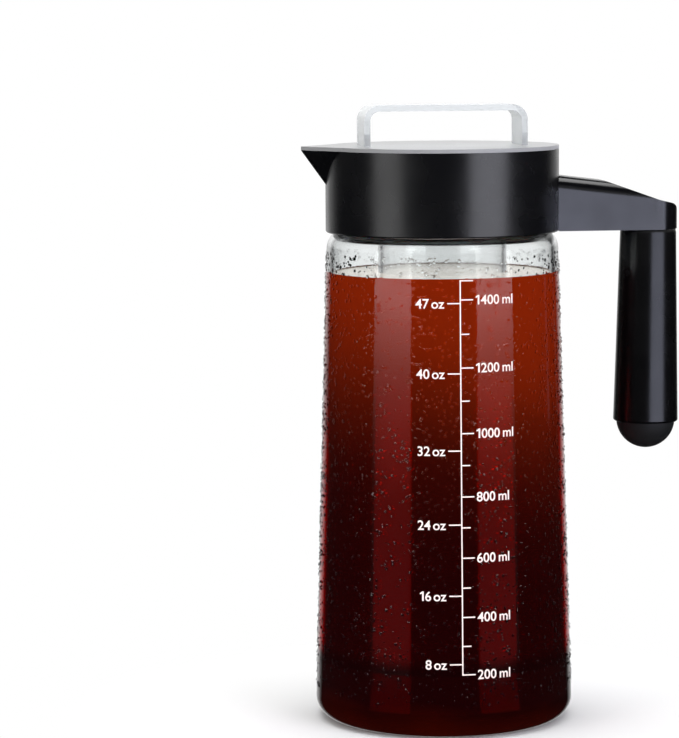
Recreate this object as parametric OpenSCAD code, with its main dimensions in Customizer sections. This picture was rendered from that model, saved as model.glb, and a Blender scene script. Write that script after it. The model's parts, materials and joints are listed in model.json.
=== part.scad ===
// Cold brew coffee maker: a tapered glass jug with a plastic collar, a bolted side grip,
// a lift-out filter that hangs in the collar, and a lid that plugs the collar.
// Millimetres. The origin is the centre of the jug's flat base, +Z is up,
// the grip is on the +X side, the spout on the -X side and the volume scale faces -Y.

/* [Glass jug] */
// Outside radius of the jug at its foot
glass_foot_r = 55.1; // [50:0.1:60]
// Radius of the bend between the flat base and the wall
glass_foot_bend = 9; // [6:0.1:14]
// Outside radius of the jug where its shoulder starts
glass_top_r = 49.4; // [48.5:0.1:50.5]
// Height at which the shoulder starts
shoulder_z = 202; // [170:0.5:230]
// Radius of the shoulder's bend
shoulder_bend = 8.5; // [7:0.1:9.5]
// Wall thickness of the glass
glass_wall = 2.8; // [1.8:0.1:3.5]
// Thickness of the glass base
glass_base = 4; // [2:0.1:6]
// Outside radius of the neck
neck_r = 43.8; // [42.5:0.1:44.5]
// Length of the neck from the shoulder to the rim bead
neck_h = 4; // [3:0.1:6]
// How far the rim bead stands out from the neck
bead_out = 1.7; // [1:0.1:2]
// Height of the rim bead
bead_h = 4; // [3:0.1:6]
// Bend of the rim bead's edges
bead_bend = 1.2; // [0.5:0.1:1.4]

/* [Volume scale] */
// First graduation, in millilitres
scale_first_ml = 200; // [100:100:400]
// Last graduation, in millilitres
scale_last_ml = 1400; // [800:100:1400]
// Volume between two graduations, in millilitres
scale_step_ml = 100; // [50:50:200]
// Highest fill, the top of the scale, in millilitres
fill_ml = 1455; // [1400:5:1500]
// Volume of one US fluid ounce, in millilitres
ounce_ml = 29.57; // [29:0.01:30]
// Ounces between two graduations of the second scale
ounce_step = 8; // [4:4:16]
// Length of a numbered graduation
major_tick = 5.4; // [3:0.1:8]
// Length of a plain graduation
minor_tick = 3.7; // [2:0.1:6]
// Width of every printed line
ink_line = 0.5; // [0.3:0.05:1]
// Thickness of the baked ink
ink_t = 0.12; // [0.05:0.01:0.3]

/* [Collar and spout] */
// Outside radius of the collar
collar_r = 49.7; // [49.2:0.1:52]
// Wall thickness of the collar
collar_wall = 2.4; // [2:0.1:2.8]
// Height of the collar
collar_h = 35; // [32:0.1:45]
// Thickness of the flange that carries the glass bead
flange_t = 2.5; // [1.5:0.1:4]
// Radius of the collar's outer edge bevel
collar_edge = 0.5; // [0.2:0.1:1]
// Distance from the jug's axis to the tip of the spout
spout_reach = 60.3; // [56:0.1:66]
// Angle round the collar between the spout's tip and each of its sides
spout_side_a = 25; // [20:1:30]
// Height of the spout's front edge
spout_h = 14.8; // [11:0.1:16]
// Wall thickness of the spout
spout_wall = 2; // [1.4:0.1:3]

/* [Neck fittings] */
// Thickness of the split ring under the glass bead
split_ring_t = 2.3; // [1.5:0.1:3]
// Gap between the ends of the split ring
split_gap = 3; // [1:0.1:6]
// Thickness of the gasket on the rim
gasket_t = 2; // [1:0.1:3]
// Thickness of the pour deck
deck_t = 2.5; // [2:0.1:4]
// Height of the pour deck's upstand, with its snap ridge
upstand_h = 1.6; // [1.4:0.1:1.9]
// Thickness of the upstand
upstand_t = 1.6; // [1:0.1:2.5]
// Height of the snap ridge
ridge_h = 0.8; // [0.5:0.1:1]
// How far the snap ridge stands out
ridge_out = 0.5; // [0.3:0.1:0.8]
// Number of pour windows in the deck
deck_windows = 6; // [4:1:8]
// Inner radius of the pour windows
window_in_r = 33.5; // [33:0.1:36]
// Outer radius of the pour windows
window_out_r = 42.2; // [40:0.1:43]
// Width of the spokes between the pour windows
spoke_w = 5; // [3:0.1:8]

/* [Handle arm] */
// Width of the arm
arm_w = 26; // [20:0.5:30]
// Distance from the jug's axis to the far end of the arm
arm_reach = 101.6; // [99:0.1:110]
// Height of the arm where it leaves the collar
arm_h = 23.3; // [20:0.1:26]
// Slope of the arm's crown, in degrees
arm_slope = 7; // [4:0.5:10]
// Radius of the crown's two long edges
arm_edge = 5.5; // [3:0.1:7]
// Distance from the jug's axis to the start of the steeper top face
arm_knee = 69; // [65:0.5:74]
// Slope of the steeper top face, in degrees
arm_fall = 19.8; // [16:0.1:22]
// Distance from the jug's axis to the end of the steeper top face
arm_foot = 93; // [88:0.5:94]
// Slope of the arm's last top face, in degrees
arm_tail = 12; // [8:0.5:16]
// Radius of the bend where the top turns down at the far end
arm_nose = 5; // [3:0.1:6]
// Width of the flat between the two upright corners of the far end
arm_end_flat = 0.6; // [0.4:0.1:8]

/* [Grip] */
// Diameter of the grip at the arm
grip_top_d = 24; // [22:0.1:26]
// Diameter of the grip at its lower end
grip_low_d = 27.8; // [24:0.1:32]
// Length of the grip
grip_l = 83.2; // [70:0.1:100]
// Distance of the grip's far side from the far end of the arm
grip_inset = 0.2; // [0.1:0.1:3]
// Lean of the grip towards the jug, in degrees
grip_lean = 0.65; // [0:0.05:2]
// Bevel of the grip's lower edge
grip_edge = 1; // [0.4:0.1:1.4]
// Diameter of the domed end cap
cap_d = 25; // [22:0.1:27]
// Height of the domed end cap
cap_h = 11.6; // [8:0.1:12.5]
// Diameter of the end cap's plug
cap_plug_d = 17; // [14:0.1:18]
// Length of the end cap's plug
cap_plug_l = 8; // [5:0.1:12]
// Thread diameter of the long grip bolt
bolt_d = 5; // [4:0.5:6]
// Head diameter of the grip bolt
bolt_head_d = 8.5; // [7:0.1:10]
// Head height of the grip bolt
bolt_head_h = 5; // [3:0.1:6]
// Outside diameter of the washer under the bolt head
washer_d = 15; // [10:0.1:15.5]
// Thickness of the washer
washer_t = 1.2; // [0.8:0.1:2]
// Diameter of the brass insert in the arm
insert_d = 8; // [7:0.1:10]
// Length of the brass insert
insert_l = 9; // [6:0.1:10]
// Outside diameter of the arm's two collar screws
arm_screw_d = 3; // [2.5:0.1:3.5]
// Length of the arm's two collar screws
arm_screw_l = 11; // [8:0.1:16]
// Distance between the two collar screws
arm_screw_gap = 14; // [10:0.1:18]

/* [Filter] */
// Outside radius of the filter's neck
filter_top_r = 27.4; // [26:0.1:28]
// Outside radius of the filter just above its base
filter_low_r = 21.6; // [20:0.1:24]
// Wall thickness of the filter frame
filter_wall = 1.8; // [1.4:0.1:2.4]
// Outside radius of the filter's rim
filter_rim_r = 31.5; // [30:0.1:32.5]
// Thickness of the filter's rim
filter_rim_t = 2.4; // [1.5:0.1:3]
// Height of the underside of the filter's base above the table
filter_z = 36; // [30:0.5:45]
// Length of the threaded end that the screw-on base takes
thread_l = 5.7; // [4:0.1:8]
// Thickness of the screw-on base's floor
base_floor = 2; // [1.5:0.1:3]
// Thickness of the flat seal in the base
base_seal_t = 1.2; // [0.8:0.1:2]
// Width of the flat seal in the base
base_seal_w = 3.6; // [2.5:0.1:4]
// Wall thickness of the screw-on base
base_wall = 1.8; // [1.4:0.1:2.4]
// Number of window rows
window_rows = 3; // [2:1:4]
// Number of windows round the filter
window_cols = 6; // [5:1:7]
// Height of each ring between the window rows
ring_h = 5; // [3:0.1:8]
// How far each ring stands out
ring_out = 0.9; // [0.4:0.1:1]
// How far the frame draws in between two rings
waist = 0.7; // [0.2:0.1:0.9]
// Height of the plain neck above the top windows
filter_neck_h = 32; // [20:0.5:40]
// Width of the ribs between the windows, at the top row
rib_w = 9; // [6:0.1:11]
// Radius of the opening in the base
base_hole_r = 14; // [11:0.5:15]
// Thickness of the steel mesh
mesh_t = 0.4; // [0.2:0.05:0.6]

/* [Lid] */
// Thickness of the steel lid plate
plate_t = 1.65; // [1.2:0.05:3]
// Thickness of the plug's top
plug_top_t = 2; // [1.5:0.1:3]
// Wall thickness of the plug
plug_wall = 2.8; // [2.4:0.1:4]
// Height of the plug below the lid plate
plug_h = 19.4; // [14:0.1:19.6]
// Height of the sealing ring
seal_h = 2.6; // [2:0.1:4]
// Height of the plug's edge below the sealing ring
seal_lift = 0.9; // [0.6:0.1:2]
// Depth of the groove that holds the sealing ring
seal_groove = 1.4; // [1:0.1:1.8]
// Length of the strap handle over its legs
strap_l = 69.6; // [60:0.1:76]
// Width of the strap handle
strap_w = 25.6; // [18:0.1:30]
// Thickness of the strap handle
strap_t = 2.6; // [2.4:0.1:4]
// Height of the strap handle above the lid plate
strap_h = 17.3; // [15:0.1:30]
// Inner bend radius of the strap handle
strap_bend = 4; // [2:0.1:8]
// Outside diameter of the handle's screws
lid_screw_d = 1.6; // [1.4:0.1:1.8]
// Depth of the handle's screws in its legs
lid_screw_in = 5; // [3:0.1:8]
// Distance between the two screws of one leg
lid_screw_gap = 17; // [12:0.1:20]

/* [Clearances] */
// Side gap between pieces that are fixed together
fixed_gap = 0.15; // [0.05:0.05:0.3]
// Side gap between pieces that slide past each other
slide_gap = 0.4; // [0.3:0.05:0.5]
// Gap between the sealing ring and the collar
seal_gap = 0.3; // [0.2:0.05:0.3]
// Gap of the filter's base round its neck and under it
thread_gap = 0.3; // [0.2:0.05:0.4]

/* [Hidden] */
$fn = 96;

eps = 0.01;      // overlap that keeps a cut clean
ink_gap = 0.01;  // keeps the ink's own surface off the glass
cut = 200;       // longer than the whole part
bend_n = 8;      // steps in the arc of a bend
round_n = 24;    // steps in the arc of a wide round

// Points of an arc about [x, y], from angle a0 to a1
function arc(x, y, r, a0, a1, n = bend_n) =
    [for (i = [0 : n]) [x + r * cos(a0 + (a1 - a0) * i / n), y + r * sin(a0 + (a1 - a0) * i / n)]];

// ---- heights, from the glass up
wall_lean = atan((glass_foot_r - glass_top_r) / (shoulder_z - glass_foot_bend));
shoulder_in = glass_top_r - neck_r;
shoulder_turn = acos(1 - shoulder_in / shoulder_bend);
neck_z = shoulder_z + shoulder_bend * sin(shoulder_turn);
bead_z = neck_z + neck_h;
bead_r = neck_r + bead_out;
rim_z = bead_z + bead_h;
collar_z = bead_z - split_ring_t - flange_t;
collar_in_r = collar_r - collar_wall;
collar_hole_r = bead_r + slide_gap;
collar_top = collar_z + collar_h;
gasket_z = rim_z;
deck_z = gasket_z + gasket_t;
deck_top = deck_z + deck_t;
deck_r = collar_in_r - fixed_gap;
ridge_z = deck_top + upstand_h - ridge_h;
plate_z = collar_top;
plug_r = collar_in_r - slide_gap;
plug_z = plate_z - plug_h;
seal_r = collar_in_r - seal_gap;
seal_z = plug_z + seal_lift;
groove_r = plug_r - seal_groove;

// ---- straight wall of the glass, between its two bends, and the volume inside it
wall_low_r = glass_foot_r - glass_foot_bend * (1 - cos(wall_lean));
wall_low_z = glass_foot_bend * (1 + sin(wall_lean));
wall_top_r = glass_top_r - shoulder_bend * (1 - cos(wall_lean));
wall_top_z = shoulder_z + shoulder_bend * sin(wall_lean);
glass_in_r = glass_foot_r - glass_wall;
in_bend = glass_foot_bend - glass_wall;
// Outside radius at height z
function skin_r(z) = wall_low_r
    + (wall_top_r - wall_low_r) * (z - wall_low_z) / (wall_top_z - wall_low_z);
// Volume that the bend at the foot takes from a plain cone
bend_loss = PI / 2 * (4 - PI) * in_bend * in_bend * (glass_in_r - in_bend / 4.5);
// Height of a fill of ml millilitres
function fill_z(ml) = let (
    k = tan(wall_lean),
    r0 = skin_r(glass_base) - glass_wall,
    v = ml * 1000 + bend_loss
  ) glass_base + (r0 - pow(pow(r0, 3) - 3 * k * v / PI, 1 / 3)) / k;

// ---- spout: two flat sides that meet in a slanted front edge
side_x = collar_r * cos(spout_side_a);
side_y = collar_r * sin(spout_side_a);
spout_slant = atan2(spout_h, spout_reach - collar_r);
side_depth = (spout_reach - side_x) * sin(spout_slant);
spout_half = atan2(side_y, side_depth);
inner_shift = spout_wall / sin(spout_half) / sin(spout_slant);

// ---- arm and grip
arm_low = collar_z;
arm_top = arm_low + arm_h;
arm_corner = (arm_w - arm_end_flat) / 2;
knee_z = arm_top - (arm_knee - collar_r) * tan(arm_slope);
foot_z = knee_z - (arm_foot - arm_knee) * tan(arm_fall);
nose_x = arm_reach - arm_nose;
nose_z = foot_z - (nose_x + arm_nose * sin(arm_tail) - arm_foot) * tan(arm_tail)
    - arm_nose * cos(arm_tail);
arm_screw_z = arm_low + arm_h * 0.4;
arm_screw_a = asin(arm_screw_gap / 2 / collar_r);
screw_sink = 0.1;
screw_face = collar_in_r + screw_sink;
screw_cone = arm_screw_d / 2;
grip_x = arm_reach - grip_top_d / 2 - grip_inset;
bolt_gap = 0.25;
seat_depth = cap_plug_l + bolt_head_h + washer_t + 1;
bolt_seat = -grip_l + seat_depth - washer_t;
insert_base = 0.6;
cap_r = (cap_d * cap_d / 4 + cap_h * cap_h) / (2 * cap_h);

// ---- filter
filter_top_z = deck_top + filter_rim_t;
deck_hole_r = filter_top_r + ring_out + slide_gap;
neck_end_z = deck_z - filter_neck_h;
base_in_r = filter_low_r - base_wall;
spigot_r = base_in_r - thread_gap;
spigot_in_r = spigot_r - filter_wall;
base_mesh_z = filter_z + base_floor;
base_seal_z = base_mesh_z + mesh_t;
spigot_z = base_seal_z + base_seal_t + thread_gap;
base_top_z = spigot_z + thread_l;
row_z = base_top_z + thread_gap + ring_h / 2;
row_pitch = (neck_end_z - row_z) / window_rows;
window_h = row_pitch - ring_h;
// Outside radius of the filter at height z
function filter_r(z) = filter_low_r
    + (filter_top_r - filter_low_r) * (z - row_z) / (neck_end_z - row_z);

// ---- lid and its handle
leg_x = (strap_l - strap_t) / 2;
plate_top = plate_z + plate_t;
strap_top = plate_top + strap_h;
lid_head_r = lid_screw_d;
lid_head_h = 1;

// ================================================================ shared shapes

// A flat ring about the Z axis, standing on height z
module ring(r_out, r_in, h, z = 0) {
  translate([0, 0, z])
    difference() {
      cylinder(h = h, r = r_out);
      translate([0, 0, -eps])
        cylinder(h = h + 2 * eps, r = r_in);
    }
}

// A V-shaped prism whose sides meet in the spout's front edge, moved in by shift,
// as far as the spout's sides reach
module spout_prism(shift, z, h) {
  intersection() {
    translate([shift - spout_reach, 0, collar_top])
      rotate([0, 90 + spout_slant, 0])
        translate([0, 0, -cut / 2])
          linear_extrude(cut)
            polygon([[0, 0], [-2 * side_depth, 2 * side_y], [-2 * side_depth, -2 * side_y]]);
    translate([shift - side_x - cut, -cut / 2, z])
      cube([cut, cut, h]);
  }
}

// Puts its children at both sides of the jug's XZ plane
module both_sides(y) {
  for (side = [-1, 1])
    translate([0, side * y, 0])
      children();
}

// Puts its children on the grip's axis, where z = 0 is the underside of the arm
module on_grip() {
  translate([grip_x, 0, arm_low])
    rotate([0, grip_lean, 0])
      children();
}

// Puts its children on the axes of the arm's screws, pointing out from the jug's axis
module on_arm_screws() {
  for (side = [-1, 1])
    rotate([0, 0, side * arm_screw_a])
      translate([0, 0, arm_screw_z])
        rotate([0, 90, 0])
          children();
}

// Puts its children at the four screws of the lid's handle
module on_lid_screws() {
  for (end = [-1, 1])
    translate([end * leg_x, 0, 0])
      both_sides(lid_screw_gap / 2)
        children();
}

// ================================================================ jug

module glass_carafe() {
  outer = concat(
    [[0, 0]],
    arc(glass_foot_r - glass_foot_bend, glass_foot_bend, glass_foot_bend, -90, wall_lean),
    arc(glass_top_r - shoulder_bend, shoulder_z, shoulder_bend, wall_lean, shoulder_turn),
    [[neck_r, bead_z]],
    arc(bead_r - bead_bend, bead_z + bead_bend, bead_bend, -90, 0),
    arc(bead_r - bead_bend, rim_z - bead_bend, bead_bend, 0, 90));
  inner = concat(
    [[neck_r - glass_wall, rim_z], [neck_r - glass_wall, neck_z]],
    arc(glass_top_r - shoulder_bend, shoulder_z, shoulder_bend - glass_wall,
        shoulder_turn, wall_lean),
    arc(glass_in_r - in_bend, glass_base + in_bend, in_bend, wall_lean, -90),
    [[0, glass_base]]);
  color([0.86, 0.9, 0.9, 0.35])
    rotate_extrude($fn = 2 * $fn)
      polygon(concat(outer, inner));
}

// A bar across the printing, seen from the front: h high, from x0 to x1
module ink_bar(z, h, x0, x1) {
  translate([x0, -2 * glass_foot_r, z])
    cube([x1 - x0, 2 * glass_foot_r, h]);
}

// The ink lies on the glass as a thin skin, cut to the shape of the lines
module volume_scale() {
  low_z = fill_z(scale_first_ml) - ink_line / 2;
  high_z = fill_z(fill_ml) + ink_line / 2;
  last_ounce = floor(scale_last_ml / ounce_ml);
  color("white")
    intersection() {
      rotate_extrude($fn = 2 * $fn)
        polygon([[wall_low_r + ink_gap, wall_low_z], [wall_low_r + ink_gap + ink_t, wall_low_z],
                 [wall_top_r + ink_gap + ink_t, wall_top_z], [wall_top_r + ink_gap, wall_top_z]]);
      union() {
        ink_bar(low_z, high_z - low_z, -ink_line / 2, ink_line / 2);
        ink_bar(high_z - ink_line, ink_line, 0, major_tick);
        for (ml = [scale_first_ml : scale_step_ml : scale_last_ml])
          ink_bar(fill_z(ml) - ink_line / 2, ink_line, 0,
                  ml % (2 * scale_step_ml) == 0 ? major_tick : minor_tick);
        for (ounce = [each [ounce_step : ounce_step : last_ounce - ounce_step / 2], last_ounce])
          ink_bar(fill_z(ounce * ounce_ml) - ink_line / 2, ink_line, -major_tick, 0);
      }
    }
}

module collar() {
  groove_r = collar_in_r + ridge_out;
  groove_z = ridge_z - fixed_gap;
  groove_top = ridge_z + ridge_h + fixed_gap;
  flange_top = collar_z + flange_t;
  section = [
    [collar_hole_r, collar_z], [collar_r - collar_edge, collar_z],
    [collar_r, collar_z + collar_edge], [collar_r, collar_top], [collar_in_r, collar_top],
    [collar_in_r, groove_top], [groove_r, groove_top], [groove_r, groove_z],
    [collar_in_r, groove_z], [collar_in_r, flange_top], [collar_hole_r, flange_top]];
  color([0.06, 0.06, 0.065])
    difference() {
      union() {
        rotate_extrude($fn = 2 * $fn)
          polygon(section);
        difference() {
          spout_prism(0, collar_top - spout_h, spout_h);
          translate([0, 0, collar_z])
            cylinder(h = collar_h + eps, r = collar_r - collar_wall / 2);
        }
      }
      spout_prism(inner_shift, plug_z, collar_h);
      on_arm_screws() {
        cylinder(h = cut / 2, r = arm_screw_d / 2 + fixed_gap);
        translate([0, 0, screw_face - screw_cone])
          cylinder(h = screw_cone, r = arm_screw_d);
        translate([0, 0, screw_face])
          cylinder(h = screw_cone, r1 = arm_screw_d, r2 = arm_screw_d / 2);
      }
    }
}

// A ring split at the spout's side so that it opens over the glass bead
module neck_split_ring() {
  split_a = split_gap / neck_r * 180 / PI;
  color([0.75, 0.76, 0.78])
    rotate([0, 0, split_a / 2 - 180])
      rotate_extrude(angle = 360 - split_a)
        translate([neck_r + fixed_gap, collar_z + flange_t])
          square([collar_in_r - neck_r - 2 * fixed_gap, split_ring_t]);
}

// Sits on the glass rim and hangs down round the bead
module rim_gasket() {
  outer_r = collar_in_r - fixed_gap;
  skirt_r = bead_r + fixed_gap;
  inner_r = neck_r - glass_wall + fixed_gap;
  color([0.85, 0.85, 0.83])
    rotate_extrude()
      polygon([[inner_r, rim_z], [skirt_r, rim_z], [skirt_r, bead_z + fixed_gap],
               [outer_r, bead_z + fixed_gap], [outer_r, rim_z + gasket_t],
               [inner_r, rim_z + gasket_t]]);
}

module pour_deck() {
  ridge_r = deck_r + ridge_out;
  upstand_z = deck_top + upstand_h;
  color([0.08, 0.08, 0.085])
    difference() {
      rotate_extrude()
        polygon([[deck_hole_r, deck_z], [deck_r, deck_z], [deck_r, ridge_z],
                 [ridge_r, ridge_z], [ridge_r, ridge_z + ridge_h / 2], [deck_r, upstand_z],
                 [deck_r - upstand_t, upstand_z], [deck_r - upstand_t, deck_top],
                 [deck_hole_r, deck_top]]);
      for (i = [0 : deck_windows - 1])
        rotate([0, 0, (i + 0.5) * 360 / deck_windows])
          deck_window();
    }
}

// One pour window, between two spokes
module deck_window() {
  half_a = 180 / deck_windows;
  side = spoke_w / 2 / sin(half_a);
  difference() {
    ring(window_out_r, window_in_r, deck_t + 2 * eps, deck_z - eps);
    for (turn = [-1, 1])
      rotate([0, 0, turn * half_a])
        translate([-cut / 2, turn > 0 ? -spoke_w / 2 : spoke_w / 2 - cut, 0])
          cube([cut, cut, cut * 2]);
    translate([-cut + side, -cut / 2, 0])
      cube([cut, cut, cut * 2]);
  }
}

// ================================================================ arm and grip

module handle_arm() {
  side_view = concat(
    [[0, arm_low], [arm_reach, arm_low]],
    arc(nose_x, nose_z, arm_nose, 0, 90 - arm_tail),
    [[arm_foot, foot_z], [arm_knee, knee_z],
     [0, arm_top + collar_r * tan(arm_slope)]]);
  crown_z = arm_h + arm_edge;
  color([0.06, 0.06, 0.065])
    difference() {
      intersection() {
        // side view, with the steeper faces of the far end
        rotate([90, 0, 0])
          linear_extrude(arm_w, center = true)
            polygon(side_view);
        // plan, with the upright corners
        translate([0, 0, arm_low - eps])
          linear_extrude(arm_h + arm_reach)
            polygon(concat(
              [[0, -arm_w / 2]],
              arc(arm_reach - arm_corner, arm_corner - arm_w / 2, arm_corner, -90, 0, round_n),
              arc(arm_reach - arm_corner, arm_w / 2 - arm_corner, arm_corner, 0, 90, round_n),
              [[0, arm_w / 2]]));
        // cross-section, with the crown's rounded edges, along the slope
        translate([collar_r, 0, arm_top])
          rotate([0, arm_slope, 0])
            translate([-collar_r, 0, 0])
              rotate([90, 0, 90])
                linear_extrude(2 * arm_reach)
                  polygon(concat(
                    [[-arm_w / 2, -2 * crown_z], [arm_w / 2, -2 * crown_z]],
                    arc(arm_w / 2 - arm_edge, -arm_edge, arm_edge, 0, 90),
                    arc(arm_edge - arm_w / 2, -arm_edge, arm_edge, 90, 180)));
      }
      translate([0, 0, arm_low - arm_h])
        cylinder(h = 3 * arm_h, r = collar_r);
      on_arm_screws()
        cylinder(h = screw_face + arm_screw_l + screw_sink, r = arm_screw_d / 2);
      on_grip() {
        translate([0, 0, insert_base])
          cylinder(h = insert_l, r = insert_d / 2);
        translate([0, 0, -eps])
          cylinder(h = insert_base + 2 * eps, r = bolt_d / 2 + bolt_gap);
      }
    }
}

module arm_screws() {
  color([0.72, 0.73, 0.75])
    on_arm_screws()
      difference() {
        union() {
          translate([0, 0, screw_face])
            cylinder(h = arm_screw_l, r = arm_screw_d / 2);
          translate([0, 0, screw_face])
            cylinder(h = screw_cone, r1 = arm_screw_d, r2 = arm_screw_d / 2);
        }
        hex_socket(arm_screw_d * 0.33, screw_face, arm_screw_d * 0.35);
      }
}

// A hexagonal socket of radius r, depth deep, above height z
module hex_socket(r, z, depth) {
  translate([0, 0, z - eps])
    cylinder(h = depth + eps, r = r, $fn = 6);
}

module arm_insert() {
  color([0.78, 0.62, 0.32])
    on_grip()
      ring(insert_d / 2, bolt_d / 2, insert_l, insert_base);
}

module grip() {
  top_r = grip_top_d / 2;
  low_r = grip_low_d / 2;
  color([0.05, 0.05, 0.055])
    difference() {
      on_grip()
        rotate_extrude()
          polygon([[bolt_d / 2 + bolt_gap, -grip_l], [low_r - grip_edge, -grip_l],
                   [low_r, grip_edge - grip_l], [top_r, 0], [top_r, grip_edge],
                   [bolt_d / 2 + bolt_gap, grip_edge]]);
      translate([0, -cut / 2, arm_low])
        cube(cut);
      on_grip()
        translate([0, 0, -grip_l - eps])
          cylinder(h = seat_depth + eps, r = cap_plug_d / 2 + fixed_gap);
    }
}

module grip_bolt() {
  color([0.72, 0.73, 0.75])
    on_grip()
      difference() {
        union() {
          translate([0, 0, bolt_seat])
            cylinder(h = insert_base + insert_l - bolt_seat - 1, r = bolt_d / 2);
          translate([0, 0, bolt_seat - bolt_head_h])
            cylinder(h = bolt_head_h, r = bolt_head_d / 2);
        }
        hex_socket(bolt_d * 0.46, bolt_seat - bolt_head_h, bolt_head_h * 0.6);
      }
}

module grip_washer() {
  color([0.72, 0.73, 0.75])
    on_grip()
      ring(washer_d / 2, bolt_d / 2 + bolt_gap, washer_t, bolt_seat);
}

// A dome that closes the grip, with a plug up the grip's counterbore
module grip_end_cap() {
  color([0.05, 0.05, 0.055])
    on_grip()
      translate([0, 0, -grip_l]) {
        difference() {
          translate([0, 0, cap_r - cap_h])
            sphere(r = cap_r);
          translate([-cut / 2, -cut / 2, 0])
            cube(cut);
        }
        ring(cap_plug_d / 2, cap_plug_d / 2 - 2, cap_plug_l);
      }
}

// ================================================================ filter

module filter_frame() {
  // Outer outline of one row: a standing ring, then a shallow waist
  function row(z) = concat(
    [[filter_r(z) + ring_out, z - ring_h / 2], [filter_r(z) + ring_out, z + ring_h / 2]],
    [for (i = [0 : bend_n])
      let (h = z + ring_h / 2 + window_h * i / bend_n)
        [filter_r(h) - waist * sin(180 * i / bend_n), h]]);
  rows = [for (k = [0 : window_rows - 1]) each row(row_z + k * row_pitch)];
  low_in_r = filter_low_r - filter_wall;
  top_in_r = filter_top_r - filter_wall;
  shoulder_low = base_top_z + thread_gap;
  color([0.85, 0.88, 0.88, 0.4])
    difference() {
      rotate_extrude()
        polygon(concat(
          [[spigot_in_r, spigot_z], [spigot_r, spigot_z], [spigot_r, shoulder_low]],
          rows,
          [[filter_top_r + ring_out, neck_end_z - ring_h / 2],
           [filter_top_r + ring_out, neck_end_z + ring_h / 2],
           [filter_top_r, neck_end_z + ring_h / 2], [filter_top_r, deck_top],
           [filter_rim_r, deck_top], [filter_rim_r, filter_top_z],
           [top_in_r, filter_top_z], [top_in_r, neck_end_z],
           [low_in_r, shoulder_low + 1], [spigot_in_r, shoulder_low + 1]]));
      for (k = [0 : window_rows - 1])
        for (i = [0 : window_cols - 1])
          rotate([0, 0, (i + 0.5) * 360 / window_cols])
            filter_window(row_z + (k + 0.5) * row_pitch);
    }
}

// One oval window through the filter's wall, centred on height z
module filter_window(z) {
  w = 2 * filter_r(z) * sin(180 / window_cols) - rib_w * filter_r(z) / filter_top_r;
  straight = (window_h - w) / 2;
  translate([spigot_in_r / 2, 0, z])
    rotate([90, 0, 90])
      linear_extrude(filter_rim_r)
        polygon(concat(arc(0, straight, w / 2, 0, 180), arc(0, -straight, w / 2, 180, 360)));
}

// The steel mesh sleeve that lines the frame
module filter_mesh() {
  low_z = base_top_z + thread_gap + 1;
  low_r = filter_low_r - filter_wall - fixed_gap;
  top_r = filter_top_r - filter_wall - fixed_gap;
  color([0.7, 0.71, 0.73])
    rotate_extrude()
      polygon([[low_r - mesh_t, low_z], [low_r, low_z], [top_r, neck_end_z],
               [top_r, neck_end_z + ring_h / 2], [top_r - mesh_t, neck_end_z + ring_h / 2],
               [top_r - mesh_t, neck_end_z]]);
}

// The flat seal between the base and the end of the frame
module base_seal() {
  color([0.8, 0.8, 0.78])
    ring(spigot_r, spigot_r - base_seal_w, base_seal_t, base_seal_z);
}

module filter_base() {
  bar_w = 3;
  color([0.85, 0.88, 0.88, 0.4]) {
    rotate_extrude()
      polygon([[base_hole_r, filter_z], [filter_low_r - 1, filter_z],
               [filter_low_r, filter_z + 1], [filter_low_r, base_top_z],
               [base_in_r, base_top_z], [base_in_r, base_mesh_z], [base_hole_r, base_mesh_z]]);
    for (turn = [0, 90])
      rotate([0, 0, turn])
        translate([-base_hole_r - 1, -bar_w / 2, filter_z])
          cube([2 * base_hole_r + 2, bar_w, base_floor]);
  }
}

module base_mesh() {
  color([0.7, 0.71, 0.73])
    translate([0, 0, base_mesh_z])
      cylinder(h = mesh_t, r = base_in_r - fixed_gap);
}

// ================================================================ lid

module lid_plate() {
  color([0.8, 0.8, 0.82])
    difference() {
      translate([0, 0, plate_z]) {
        cylinder(h = plate_t, r = collar_r, $fn = 2 * $fn);
        linear_extrude(plate_t)
          polygon([[-spout_reach, 0], [-side_x, side_y], [0, 0], [-side_x, -side_y]]);
      }
      on_lid_screws()
        translate([0, 0, plate_z - eps])
          cylinder(h = plate_t + 2 * eps, r = lid_screw_d / 2 + fixed_gap);
    }
}

// An upturned cup under the lid plate, with a groove for the seal
module lid_plug() {
  in_r = plug_r - plug_wall;
  seal_top = seal_z + seal_h;
  roof_z = plate_z - plug_top_t;
  color([0.08, 0.08, 0.085])
    difference() {
      rotate_extrude()
        polygon([[in_r, plug_z], [plug_r, plug_z], [plug_r, seal_z],
                 [groove_r, seal_z], [groove_r, seal_top], [plug_r, seal_top],
                 [plug_r, plate_z], [0, plate_z], [0, roof_z], [in_r, roof_z]]);
      on_lid_screws()
        translate([0, 0, roof_z - eps])
          cylinder(h = plug_top_t + 2 * eps, r = lid_screw_d / 2 + fixed_gap);
    }
}

module lid_seal() {
  color([0.88, 0.88, 0.86])
    ring(seal_r, groove_r + fixed_gap, seal_h, seal_z);
}

// A flat clear strap bent into an upturned U
module lid_handle() {
  out_bend = strap_bend + strap_t;
  bend_x = strap_l / 2 - out_bend;
  bend_z = strap_top - out_bend;
  color([0.9, 0.93, 0.94, 0.4])
    difference() {
      rotate([90, 0, 0])
        linear_extrude(strap_w, center = true)
          polygon(concat(
            [[-strap_l / 2, plate_top]],
            arc(-bend_x, bend_z, out_bend, 180, 90),
            arc(bend_x, bend_z, out_bend, 90, 0),
            [[strap_l / 2, plate_top], [strap_l / 2 - strap_t, plate_top]],
            arc(bend_x, bend_z, strap_bend, 0, 90),
            arc(-bend_x, bend_z, strap_bend, 90, 180),
            [[strap_t - strap_l / 2, plate_top]]));
      on_lid_screws()
        translate([0, 0, plate_top - eps])
          cylinder(h = lid_screw_in + fixed_gap, r = lid_screw_d / 2);
    }
}

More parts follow.
